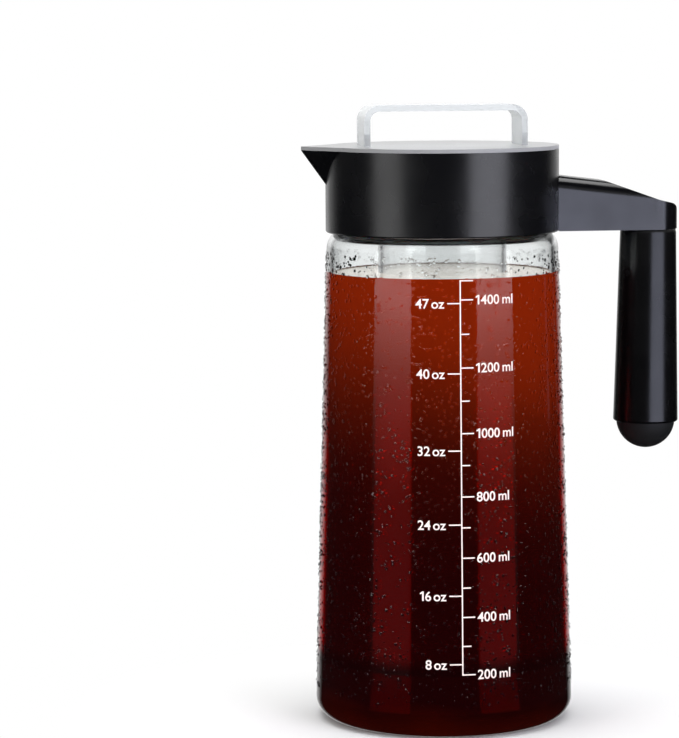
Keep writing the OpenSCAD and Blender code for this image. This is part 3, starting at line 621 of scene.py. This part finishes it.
liquid = [(r, z + SKIN) for r, z in PUSH_UP + [STAND]]
liquid += arc(FOOT_R - FOOT_BEND, FOOT_BEND, FOOT_BEND - SKIN, -90, LEAN, 20)
liquid += [(skin_r(FULL_Z) - SKIN, FULL_Z), (inner_r(FREE_Z), FREE_Z)]
liquid += [(inner_r(z), z) for z in (FREE_Z + 1, FREE_Z + 3, BREW_TOP - 3, BREW_TOP - 1)]
edge_r = inner_r(BREW_TOP + CLIMB)
liquid += [(edge_r, BREW_TOP + CLIMB)]
liquid += [(edge_r - 1.1 * (1 - sqrt(1 - t * t)) - 0.15 * t, BREW_TOP + CLIMB * (1 - t) ** 2)
           for t in (0.15, 0.35, 0.6, 0.85, 1.0)]
liquid += [(30, BREW_TOP), (0, BREW_TOP)]
brew = turn("cold_brew", liquid, cold_brew, closed=False)
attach(brew, "carafe")

# %% [markdown]
# ## Dew on the cold glass
# The jug comes from the fridge, so beads of water sit on its wall. They are 0.8 to 2 mm
# across, and there are thousands, so they are scattered by Geometry Nodes: random points on the
# wall, thinned by a slow noise into patches and towards the foot, where the beads have run
# together and gone. Each point gets one flattened bead of eighteen faces. Small beads are much
# more common than large ones.

# %% Dew tree
THIN_LOW, THIN_HIGH, THINNEST = 40, 165, 0.16    # mm, mm, share of the beads below
SPARSE = 0.25                                    # share of the beads between two patches
BEAD_HEIGHT = 0.62                               # of a bead, over its radius
RARITY = 2.2                                     # more than 1 makes large beads rarer


def dew_tree():
    tree, given = new_tree("dew_on_glass", [
        ("Per square metre", "Float"), ("Smallest", "Float"), ("Largest", "Float"),
        ("Patch size", "Float"), ("Seed", "Int"), ("Material", "Material")])
    scale = maths(tree, "DIVIDE", 1.0, given["Patch size"])
    patch = put(tree, "ShaderNodeTexNoise", {"Scale": scale, "Detail": 2.0})
    share = ramp(tree, patch.outputs["Fac"], 0.36, 0.62, SPARSE, 1.0)
    place = put(tree, "GeometryNodeInputPosition").outputs[0]
    height = put(tree, "ShaderNodeSeparateXYZ", {0: place}).outputs["Z"]
    high = ramp(tree, height, THIN_LOW * MM, THIN_HIGH * MM, THINNEST, 1.0)
    thinned = maths(tree, "MULTIPLY", share, high)
    density = maths(tree, "MULTIPLY", thinned, given["Per square metre"])
    spots = put(tree, "GeometryNodeDistributePointsOnFaces",
                {"Mesh": given["Geometry"], "Density": density, "Seed": given["Seed"]})
    ball = put(tree, "GeometryNodeMeshUVSphere", {"Segments": 6, "Rings": 3, "Radius": 1.0})
    where = put(tree, "ShaderNodeSeparateXYZ",
                {0: put(tree, "GeometryNodeInputPosition").outputs[0]})
    low = maths(tree, "MULTIPLY", maths(tree, "MAXIMUM", where.outputs["Z"]), BEAD_HEIGHT)
    dome = put(tree, "ShaderNodeCombineXYZ", {"X": where.outputs["X"], "Y": where.outputs["Y"],
                                              "Z": low})
    bead = put(tree, "GeometryNodeSetPosition", {"Geometry": ball.outputs["Mesh"],
                                                 "Position": dome.outputs[0]})
    chance = put(tree, "FunctionNodeRandomValue", {2: 0.0, 3: 1.0, "Seed": given["Seed"]},
                 data_type="FLOAT")
    rare = maths(tree, "POWER", chance.outputs[1], RARITY)
    size = ramp(tree, rare, 0.0, 1.0, given["Smallest"], given["Largest"])
    beads = put(tree, "GeometryNodeInstanceOnPoints",
                {"Points": spots.outputs["Points"], "Instance": bead.outputs[0],
                 "Rotation": spots.outputs["Rotation"], "Scale": size})
    return end_tree(tree, beads.outputs[0], given["Material"])


DEW = dew_tree()
print("tree:", DEW.name)


# %% Dew
DEW_LOW, DEW_HIGH = 14, 201    # mm, heights between which beads lie
DEW_DEEP = 0.03                # mm that a bead reaches into the glass
DEW_DENSITY = 360000.0         # beads on a square metre, where they lie closest
DEW_SMALL, DEW_LARGE = 0.42, 1.0         # mm, radii
DEW_PATCH = 22                 # mm
STRIP = 60                     # degrees of wall in one piece
DEW_STRIPS = [                 # name, start in degrees from the grip, seed
    ("dew_scale_side", 240, 4), ("dew_scale_grip_side", 300, 9), ("dew_grip_back_side", 0, 14),
    ("dew_back_side", 60, 21), ("dew_back_spout_side", 120, 27), ("dew_spout_side", 180, 33)]


def wall_strip(name, start, steps=32):
    """Part of the jug's outer wall as an open mesh, for scattering. It lies a little deep in
    the glass, so that no air is left under a bead."""
    work = bmesh.new()
    rows = []
    for z in (DEW_LOW, DEW_HIGH):
        around = arc(0, 0, skin_r(z) - DEW_DEEP, start, start + STRIP, steps)
        rows.append([work.verts.new((x * MM, y * MM, z * MM)) for x, y in around])
    for i in range(steps):
        work.faces.new((rows[0][i], rows[0][i + 1], rows[1][i + 1], rows[1][i]))
    mesh = bpy.data.meshes.new(name)
    work.to_mesh(mesh)
    work.free()
    return mesh


beads = []
for name, start, seed in DEW_STRIPS:
    dew = grow(name, wall_strip(name + "_wall", start), DEW, Per_square_metre=DEW_DENSITY,
               Smallest=DEW_SMALL * MM, Largest=DEW_LARGE * MM, Patch_size=DEW_PATCH * MM,
               Seed=seed, Material=dew_water)
    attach(dew, "carafe")
    beads.append(dew)

# %% [markdown]
# ## The printed scale
# Line and graduations are in the construction model, where the volume in the jug places them.
# The figures are type: text made into a mesh with a little thickness, set to the printed
# height, and wrapped on the cone by its arc length so that it lies on the glass.

# %% Figures
DIGIT_H = 3.95       # mm, height of a figure
PRINT_OUT = 0.03     # mm, figures stand this far off the glass
PRINT_T = 0.09       # mm, thickness of the ink
BOLDER = 0.012       # of the font's size, added all round a letter


def fill_z(ml):
    """Height at which the jug holds ml millilitres: a cone, less the bend at its foot."""
    k = tan(radians(LEAN))
    r0 = skin_r(BASE) - WALL
    loss = pi / 2 * (4 - pi) * in_bend ** 2 * (FOOT_R - WALL - in_bend / 4.5)
    volume = ml * 1000 + loss
    return BASE + (r0 - (r0 ** 3 - 3 * k * volume / pi) ** (1 / 3)) / k


def type_mesh(text):
    """Text as a flat mesh in the font's own units, starting at x = 0."""
    curve = bpy.data.curves.new("type", "FONT")
    curve.body = text
    curve.size = 1.0
    curve.offset = BOLDER
    curve.resolution_u = 4
    holder = bpy.data.objects.new("type", curve)
    bpy.context.scene.collection.objects.link(holder)
    graph = bpy.context.evaluated_depsgraph_get()
    mesh = bpy.data.meshes.new_from_object(holder.evaluated_get(graph))
    bpy.data.objects.remove(holder)
    return mesh


zero = type_mesh("0")
CAP = max(v.co.y for v in zero.vertices)
print("figure height of the font", round(CAP, 3))

# %% [markdown]
# The font's figure one is a bare bar. The printed scale has a one with a flag, so it is drawn
# here as an outline of seven points, for a figure 1 high.

# %% Setting a label
FLAGGED_ONE = [(0.43, 0), (0.43, 1), (0.28, 1), (0, 0.8), (0.06, 0.68), (0.25, 0.79), (0.25, 0)]
ONE_WIDTH = 0.58     # of its height, with the gap after it


def word(work, text, start, size):
    """Adds a word to a bmesh from x = start, in mm, and returns where it ends."""
    pen = start
    if text[0] == "1":
        work.faces.new([work.verts.new((pen + x * size, y * size, 0)) for x, y in FLAGGED_ONE])
        pen += ONE_WIDTH * size
        text = text[1:]
    mesh = type_mesh(text)
    left = min(v.co.x for v in mesh.vertices)
    mesh.transform(Matrix.Translation((pen, 0, 0)) @ Matrix.Scale(size / CAP, 4)
                   @ Matrix.Translation((-left, 0, 0)))
    work.from_mesh(mesh)
    return max(v.co.x for v in mesh.vertices)


def label(number, unit, space, x, z, to_left=False):
    """A printed number and unit whose near end is x mm from the scale's line, at height z."""
    work = bmesh.new()
    end = word(work, unit, word(work, number, 0, DIGIT_H) + space, DIGIT_H)
    shift = x - end if to_left else x
    bmesh.ops.remove_doubles(work, verts=work.verts, dist=1e-4)
    sunk = bmesh.ops.extrude_face_region(work, geom=list(work.faces))["geom"]
    backs = {v for v in sunk if isinstance(v, bmesh.types.BMVert)}
    for v in work.verts:
        up = z + v.co.y - DIGIT_H / 2
        out = skin_r(up) + PRINT_OUT + (PRINT_T if v in backs else 0)
        turned = (v.co.x + shift) / skin_r(up)
        v.co = Vector((out * sin(turned), -out * cos(turned), up)) * MM
    bmesh.ops.recalc_face_normals(work, faces=work.faces)
    mesh = bpy.data.meshes.new("label")
    work.to_mesh(mesh)
    work.free()
    return mesh


def joined(name, meshes, material):
    """One object from several meshes that already lie in place."""
    work = bmesh.new()
    for mesh in meshes:
        work.from_mesh(mesh)
    whole = bpy.data.meshes.new(name)
    work.to_mesh(whole)
    work.free()
    whole.materials.append(material)
    piece = bpy.data.objects.new(name, whole)
    bpy.context.scene.collection.objects.link(piece)
    print(f"{name}: {len(whole.polygons)} faces")
    return piece


OUNCE = 29.57                  # ml
ML_SPACE, OZ_SPACE = 1.5, 1.0  # mm between number and unit
ML_START, OZ_END = 6.4, -6.6   # mm from the line
rows = [label(str(ml), "ml", ML_SPACE, ML_START, fill_z(ml)) for ml in range(200, 1401, 200)]
rows += [label(str(oz), "oz", OZ_SPACE, OZ_END, fill_z(oz * OUNCE), to_left=True)
         for oz in (8, 16, 24, 32, 40, 47)]
figures = joined("scale_figures", rows, ink)
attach(figures, "carafe")


# %% [markdown]
# ## Rounded edges on the moulded and cut parts
# No real edge is sharp. A thin round along it catches light, and that thin bright line is much
# of what tells plastic from a drawing. The solids' triangles are merged back into whole
# faces on a copy, and a Bevel modifier rounds the edges that turn by more than a set angle.

# %% Bevelled copies
def softened(node, name, width, material, steps=3, angle=28):
    """A copy of a node with its edges rounded by width mm."""
    mesh = nodes[node].data.copy()
    work = bmesh.new()
    work.from_mesh(mesh)
    bmesh.ops.remove_doubles(work, verts=work.verts, dist=0.002 * MM)
    bmesh.ops.dissolve_limit(work, angle_limit=radians(0.6), verts=work.verts, edges=work.edges)
    work.to_mesh(mesh)
    work.free()
    mesh.materials.clear()
    mesh.materials.append(material)
    holder = bpy.data.objects.new(name, mesh)
    bpy.context.scene.collection.objects.link(holder)
    bevel = holder.modifiers.new("round", "BEVEL")
    bevel.width = width * MM
    bevel.segments = steps
    bevel.limit_method = "ANGLE"
    bevel.angle_limit = radians(angle)
    bevel.use_clamp_overlap = True
    graph = bpy.context.evaluated_depsgraph_get()
    rounded = bpy.data.meshes.new_from_object(holder.evaluated_get(graph))
    bpy.data.objects.remove(holder)
    rounded.shade_smooth()
    rounded.set_sharp_from_angle(angle=radians(40))
    piece = bpy.data.objects.new(name, rounded)
    bpy.context.scene.collection.objects.link(piece)
    even_shading(piece)
    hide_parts(node)
    print(f"{name}: {len(piece.data.polygons)} faces")
    return piece


collar = softened("collar", "collar_and_spout", 0.35, satin_abs)
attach(collar, "carafe")
arm = softened("handle_arm", "arm", 0.5, arm_abs)
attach(arm, "carafe")
plate = softened("lid_plate", "lid_sheet", 0.25, brushed_steel)
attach(plate, "lid")
strap = softened("lid_handle", "lid_strap", 0.45, strap_acrylic)
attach(strap, "lid")

# %% [markdown]
# ## Grip and end cap
# The grip hangs under the arm, thicker towards its end, with a rounded lower lip. The domed cap
# closes the hole through which the long bolt is driven. Both are turned, then leaned
# by the same small angle as in the construction model.

# %% Grip and cap
GRIP_X, GRIP_Z = 101.6 - 12 - 0.2, 209.19        # mm, middle of the grip's top
GRIP_LEAN = 0.65                                 # degrees
GRIP_TOP_R, GRIP_LOW_R, GRIP_L = 12.0, 13.9, 83.2
CAP_R, CAP_H = 12.5, 11.6                        # mm, radius and depth of the dome
BORE_R, PLUG_HOLE_R, SEAT = 2.75, 8.65, 15.2     # mm, bolt's bore, hole for the cap, its depth
lean_in_place = (Matrix.Translation((GRIP_X * MM, 0, GRIP_Z * MM))
                 @ Matrix.Rotation(radians(GRIP_LEAN), 4, "Y"))

lip = 1.0            # mm, round of the lower edge
outline = [(PLUG_HOLE_R, -GRIP_L)]
outline += arc(GRIP_LOW_R - lip, -GRIP_L + lip, lip, -90, 0, 6)
outline += [(GRIP_LOW_R + (GRIP_TOP_R - GRIP_LOW_R) * t, -GRIP_L + (GRIP_L - 0.3) * t)
            for t in (0.25, 0.5, 0.75, 0.985)]
outline += [(GRIP_TOP_R - 0.3, -0.25), (BORE_R, -0.25), (BORE_R, SEAT - GRIP_L),
            (PLUG_HOLE_R, SEAT - GRIP_L)]
grip = turn("grip_body", outline, grip_abs, steps=96)

ball_r = (CAP_R ** 2 + CAP_H ** 2) / (2 * CAP_H)
half = degrees(acos((ball_r - CAP_H) / ball_r))
dome = [(r, z - GRIP_L) for r, z in arc(0, ball_r - CAP_H, ball_r, -90, half - 90, 16)]
dome[0] = (0, dome[0][1])
dome += [(CAP_R - 0.15, -GRIP_L - 0.05), (8.5, -GRIP_L), (8.5, 8 - GRIP_L), (6.5, 8 - GRIP_L),
         (6.5, -GRIP_L), (0, -GRIP_L)]
cap = turn("grip_dome", dome, cap_abs, steps=96, closed=False)

for piece, node, slot in ((grip, "grip", "black_gloss_plastic"),
                          (cap, "grip_end_cap", "black_gloss_plastic")):
    piece.data.transform(lean_in_place)
    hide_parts(node)
    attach(piece, "carafe")

# %% [markdown]
# ## The filter's mesh
# The frame holds a sleeve of woven stainless wire, and its base a disc of the same. Real cloth
# for cold brew has about six wires to the millimetre, far too fine to see; it is drawn with
# wires 1.1 mm apart. A tree lays upright wires and hoops on the cone and gives each a section.

# %% Mesh sleeve tree
def weave_tree():
    tree, given = new_tree("woven_sleeve", [
        ("Low radius", "Float"), ("High radius", "Float"), ("Low", "Float"), ("High", "Float"),
        ("Wires", "Int"), ("Hoops", "Int"), ("Wire radius", "Float"), ("Material", "Material")])
    section = put(tree, "GeometryNodeCurvePrimitiveCircle",
                  {"Resolution": 4, "Radius": given["Wire radius"]})
    foot = put(tree, "ShaderNodeCombineXYZ", {"X": given["Low radius"], "Z": given["Low"]})
    head = put(tree, "ShaderNodeCombineXYZ", {"X": given["High radius"], "Z": given["High"]})
    upright = put(tree, "GeometryNodeCurvePrimitiveLine", {0: foot.outputs[0],
                                                           1: head.outputs[0]})
    posts = put(tree, "GeometryNodeMeshLine", {"Count": given["Wires"],
                                               "Offset": (0.0, 0.0, 0.0)})
    index = put(tree, "GeometryNodeInputIndex").outputs[0]
    step = maths(tree, "DIVIDE", 2 * pi, given["Wires"])
    turned = put(tree, "ShaderNodeCombineXYZ", {"Z": maths(tree, "MULTIPLY", index, step)})
    wires = put(tree, "GeometryNodeInstanceOnPoints",
                {"Points": posts.outputs[0], "Instance": upright.outputs[0],
                 "Rotation": turned.outputs[0]})
    ring = put(tree, "GeometryNodeCurvePrimitiveCircle", {"Resolution": 72, "Radius": 1.0})
    line = put(tree, "GeometryNodeMeshLine", {"Count": given["Hoops"],
                                              "Offset": (0.0, 0.0, 0.0)})
    last = maths(tree, "SUBTRACT", given["Hoops"], 1.0)
    share = maths(tree, "DIVIDE", index, last)
    height = ramp(tree, share, 0.0, 1.0, given["Low"], given["High"])
    radius = ramp(tree, share, 0.0, 1.0, given["Low radius"], given["High radius"])
    place = put(tree, "ShaderNodeCombineXYZ", {"Z": height})
    stack = put(tree, "GeometryNodeSetPosition", {"Geometry": line.outputs[0],
                                                  "Position": place.outputs[0]})
    wide = put(tree, "GeometryNodeCaptureAttribute", {"Geometry": stack.outputs[0]})
    wide.capture_items.new("FLOAT", "radius")
    tree.links.new(radius, wide.inputs[1])
    spread = put(tree, "ShaderNodeCombineXYZ", {"X": wide.outputs[1], "Y": wide.outputs[1],
                                                "Z": 1.0})
    hoops = put(tree, "GeometryNodeInstanceOnPoints",
                {"Points": wide.outputs[0], "Instance": ring.outputs[0],
                 "Scale": spread.outputs[0]})
    both = put(tree, "GeometryNodeJoinGeometry")
    for part in (hoops, wires):
        tree.links.new(part.outputs[0], both.inputs[0])
    real = put(tree, "GeometryNodeRealizeInstances", {0: both.outputs[0]})
    cloth = put(tree, "GeometryNodeCurveToMesh", {"Curve": real.outputs[0], "Fill Caps": True,
                                                  "Profile Curve": section.outputs[0]})
    return end_tree(tree, cloth.outputs[0], given["Material"])


WEAVE = weave_tree()
print("tree:", WEAVE.name)

# %% Mesh sleeve and base disc
SLEEVE_LOW, SLEEVE_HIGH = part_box("filter_mesh")
WIRE_GAP, WIRE_R = 1.1, 0.16   # mm, between wires, and radius of a wire
HALF_SHEET = 0.2               # mm, the wires lie in the middle of the solid sheet
LOW_R_OUT = 21.6 - 1.8 - 0.15  # mm, the frame's foot less its wall and the sleeve's clearance
top_r = SLEEVE_HIGH.x / MM - HALF_SHEET
low_r = LOW_R_OUT - HALF_SHEET
rise = (SLEEVE_HIGH.z - SLEEVE_LOW.z) / MM
sleeve = grow("filter_sleeve", bpy.data.meshes.new("sleeve_base"), WEAVE,
              Low_radius=low_r * MM, High_radius=top_r * MM, Low=SLEEVE_LOW.z + 0.1 * MM,
              High=SLEEVE_HIGH.z - 0.1 * MM, Wires=ceil(2 * pi * low_r / WIRE_GAP),
              Hoops=ceil(rise / WIRE_GAP), Wire_radius=WIRE_R * MM, Material=wire_steel)
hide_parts("filter_mesh")
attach(sleeve, "filter")

# %% [markdown]
# ## Finishes of the parts that keep their solids
# The other solids already have the right shape. Each only gets the finish of its real material.

# %% Finishes on solids
FINISHES = {
    "volume_scale": ink, "neck_split_ring": turned_steel, "rim_gasket": silicone,
    "pour_deck": inner_abs, "arm_screws": turned_steel, "arm_insert": turned_brass,
    "grip_bolt": turned_steel, "grip_washer": turned_steel, "filter_frame": filter_plastic,
    "base_seal": silicone, "filter_base": filter_plastic, "base_mesh": wire_steel,
    "lid_plug": inner_abs, "lid_seal": silicone, "lid_screws": turned_steel}
for node, finish in FINISHES.items():
    mesh_slots = nodes[node].material_slots
    for slot in mesh_slots:
        slot.material = finish
    if not mesh_slots:
        nodes[node].data.materials.append(finish)
print("finished solids:", len(FINISHES))

# %% [markdown]
# ## Studio
# A white sweep stands behind and under the jug, so every outline reads against white and the
# clear parts show white through them. Tall softboxes stand to the left and right of the
# camera: they draw the two upright bands on the glass and the soft lights on the black parts.
# A lamp is overhead. In reflections the room is white only behind the jug and in a soft ring a
# little above the horizon, which lights the lid seen from elsewhere. The rest of it is almost
# black, so that black plastic stays black.

# %% Floor
FLOOR_R = 30                   # m
SWEEP_FROM, SWEEP_TO = 0.06, 0.17        # m from the jug's axis: grey floor turns to white


def studio_floor():
    mesh = bpy.data.meshes.new("floor")
    work = bmesh.new()
    bmesh.ops.create_circle(work, cap_ends=True, segments=96, radius=FLOOR_R)
    work.to_mesh(mesh)
    work.free()
    material, tree, shader = finish_of("pale_floor", Base_Color=shade("#f2f2f2"), Roughness=0.9)
    place = put(tree, "ShaderNodeTexCoord").outputs["Object"]
    away = put(tree, "ShaderNodeVectorMath", {0: place}, operation="LENGTH").outputs["Value"]
    sweep = ramp(tree, away, SWEEP_FROM, SWEEP_TO, smooth=True)
    rays = put(tree, "ShaderNodeLightPath")
    seen = maths(tree, "MAXIMUM", maths(tree, "MAXIMUM", rays.outputs["Is Camera Ray"],
                                        rays.outputs["Is Glossy Ray"]),
                 rays.outputs["Is Transmission Ray"])
    white = put(tree, "ShaderNodeEmission", {"Color": shade("#ffffff"), "Strength": 1.0})
    mix = put(tree, "ShaderNodeMixShader", {0: maths(tree, "MULTIPLY", sweep, seen),
                                            1: shader.outputs[0], 2: white.outputs[0]})
    open_way = put(tree, "ShaderNodeBsdfTransparent")
    both = put(tree, "ShaderNodeMixShader", {0: mirrored_ray(tree), 1: mix.outputs[0],
                                             2: open_way.outputs[0]})
    tree.links.new(both.outputs[0], tree.nodes["Material Output"].inputs["Surface"])
    mesh.materials.append(material)
    floor = bpy.data.objects.new("floor", mesh)
    bpy.context.scene.collection.objects.link(floor)
    floor.visible_glossy = False


studio_floor()
print("floor radius", FLOOR_R, "m")


# %% World
ROOM_LIGHT = 0.5     # strength of the white room for plain light
DARK_ROOM = 0.008    # what the unlit part of the room adds to reflections


def studio_world():
    """White to plain light and through glass, dark in reflections but for two soft areas."""
    world = bpy.data.worlds.new("studio")
    bpy.context.scene.world = world
    world.use_nodes = True
    tree = world.node_tree
    tree.nodes.clear()
    ray = put(tree, "ShaderNodeTexCoord").outputs["Generated"]
    back = (sin(radians(HEADING)), cos(radians(HEADING)), 0.0)
    behind = put(tree, "ShaderNodeVectorMath", {0: ray, 1: back},
                 operation="DOT_PRODUCT").outputs["Value"]
    up = put(tree, "ShaderNodeSeparateXYZ", {0: ray}).outputs["Z"]
    above = maths(tree, "MULTIPLY", ramp(tree, behind, 0.8, 0.97, smooth=True),
                  ramp(tree, up, -0.03, 0.03, 0.7, 1.0))
    ring = maths(tree, "MULTIPLY", ramp(tree, up, 0.02, 0.12, 0.0, 0.4),
                 ramp(tree, up, 0.3, 0.6, 1.0, 0.0))
    mirrored = maths(tree, "MAXIMUM", maths(tree, "MAXIMUM", above, ring), DARK_ROOM)
    rays = put(tree, "ShaderNodeLightPath")
    seen = maths(tree, "MAXIMUM", rays.outputs["Is Camera Ray"],
                 rays.outputs["Is Transmission Ray"])
    straight = put(tree, "ShaderNodeMix", {0: seen, 2: ROOM_LIGHT, 3: 1.0},
                   data_type="FLOAT").outputs[0]
    strength = put(tree, "ShaderNodeMix", {0: mirrored_ray(tree), 2: straight, 3: mirrored},
                   data_type="FLOAT").outputs[0]
    glow = put(tree, "ShaderNodeBackground", {"Color": shade("#ffffff"), "Strength": strength})
    put(tree, "ShaderNodeOutputWorld", {"Surface": glow.outputs[0]})


studio_world()
print("world ready")


# %% [markdown]
# ## Softboxes
# Each card is a see-through sheet that glows, so cards may stand one behind the other. Light
# linking says which pieces a card lights: the glass has its own pair, whose glow falls off
# downwards, the arm and the grip have one each, and all the rest share four even ones, two of
# them behind the jug. A real studio gets this with several exposures.

# %% Softboxes
FADE_IN = 30         # mm, over which a card's lower edge fades in
FALL_STEP = 44       # mm, a falling card's glow shrinks to 1 / FALL_BASE with each step down
FALL_BASE = 2.718
FALL_START, FALL_LEAST, FALL_MOST = 0.08, 0.065, 2.2     # its strength at height 0, and limits


def receivers(name, pieces, lit=True):
    """The pieces that a card lights, or, if lit is false, the only ones that it doesn't."""
    group = bpy.data.collections.new(name)
    for piece in pieces:
        group.objects.link(piece)
    for member in group.collection_objects:
        member.light_linking.link_state = "INCLUDE" if lit else "EXCLUDE"
    return group


def softbox(name, turned, far, width, low, high, strength, group, about=0.0, falling=False,
            colour="#ffffff"):
    """A tall card, turned degrees round from the camera's side about the point x = about."""
    angle = radians(-90 - HEADING + turned)
    centre = Vector((cos(angle) * far + about, sin(angle) * far, 0)) * MM
    side = Vector((-sin(angle), cos(angle), 0)) * width / 2 * MM
    mesh = bpy.data.meshes.new(name)
    corners = [centre - side, centre + side, centre + side, centre - side]
    heights = [low, low, high, high]
    mesh.from_pydata([(c.x, c.y, h * MM) for c, h in zip(corners, heights)], [], [(0, 1, 2, 3)])
    material, tree, _ = finish_of(name + "_cloth", Base_Color=shade("#000000"))
    place = put(tree, "ShaderNodeTexCoord").outputs["Object"]
    height = put(tree, "ShaderNodeSeparateXYZ", {0: place}).outputs["Z"]
    glow = ramp(tree, height, low * MM, (low + FADE_IN) * MM, 0.0, strength, smooth=True)
    if falling:
        steps_up = maths(tree, "DIVIDE", height, FALL_STEP * MM)
        fall = maths(tree, "MULTIPLY", FALL_START, maths(tree, "POWER", FALL_BASE, steps_up))
        held = maths(tree, "MINIMUM", maths(tree, "MAXIMUM", fall, FALL_LEAST), FALL_MOST)
        glow = maths(tree, "MULTIPLY", glow, held)
    rays = put(tree, "ShaderNodeLightPath")
    plain_view = maths(tree, "SUBTRACT", rays.outputs["Is Transmission Ray"],
                       mirrored_ray(tree))
    shown = maths(tree, "SUBTRACT", 1.0, maths(tree, "MAXIMUM", plain_view, 0.0))
    light = put(tree, "ShaderNodeEmission", {"Color": shade(colour),
                                             "Strength": maths(tree, "MULTIPLY", glow, shown)})
    open_way = put(tree, "ShaderNodeBsdfTransparent")
    both = put(tree, "ShaderNodeAddShader", {0: light.outputs[0], 1: open_way.outputs[0]})
    tree.links.new(both.outputs[0], tree.nodes["Material Output"].inputs["Surface"])
    mesh.materials.append(material)
    card = bpy.data.objects.new(name, mesh)
    bpy.context.scene.collection.objects.link(card)
    card.visible_camera = False
    card.visible_shadow = False
    card.light_linking.receiver_collection = group


COOL = "#e3e7ff"     # the cards of the handle are a little blue
on_glass = [jug, brew, figures, nodes["volume_scale"], *beads]
for_glass = receivers("lit_by_glass_cards", on_glass)
for_arm = receivers("lit_by_arm_card", [arm])
for_grip = receivers("lit_by_grip_card", [grip, cap])
for_rest = receivers("not_lit_by_even_cards", [*on_glass, arm, grip, cap], lit=False)
softbox("glass_card_left", -51, 1200, 840, -165, 1500, 1.0, for_glass, falling=True)
softbox("glass_card_right", 50, 1200, 830, -165, 1500, 1.0, for_glass, falling=True)
softbox("arm_card", 35.6, 1200, 1619, -60, 330, 4.05, for_arm, about=80, colour=COOL)
softbox("grip_card", 36, 1000, 958, -180, 320, 2.9, for_grip, about=89, colour=COOL)
softbox("even_card_left", -55.3, 1210, 635, -600, 1500, 1.9, for_rest)
softbox("even_card_right", 44, 1210, 830, -600, 1500, 3.4, for_rest, colour="#f3f4ff")
softbox("even_card_back_left", -146, 1200, 620, -600, 1500, 0.4, for_rest)
softbox("even_card_back_right", 146, 1200, 620, -600, 1500, 0.4, for_rest)

overhead = bpy.data.objects.new("overhead", bpy.data.lights.new("overhead", "AREA"))
overhead.data.shape = "RECTANGLE"
overhead.data.size = 1.2       # m
overhead.data.size_y = 0.9     # m
overhead.data.energy = 16      # W
overhead.location = (0, 0.1, 1.5)
bpy.context.scene.collection.objects.link(overhead)
cards = [o.name for o in bpy.data.objects if "_card" in o.name]
print(f"lamps: {len(cards)} cards and {overhead.name}")

# %% [markdown]
# ## View transform
# The view transform stays Standard, so a colour renders as it is written.

# %% Finish
bpy.context.scene.view_settings.view_transform = "Standard"
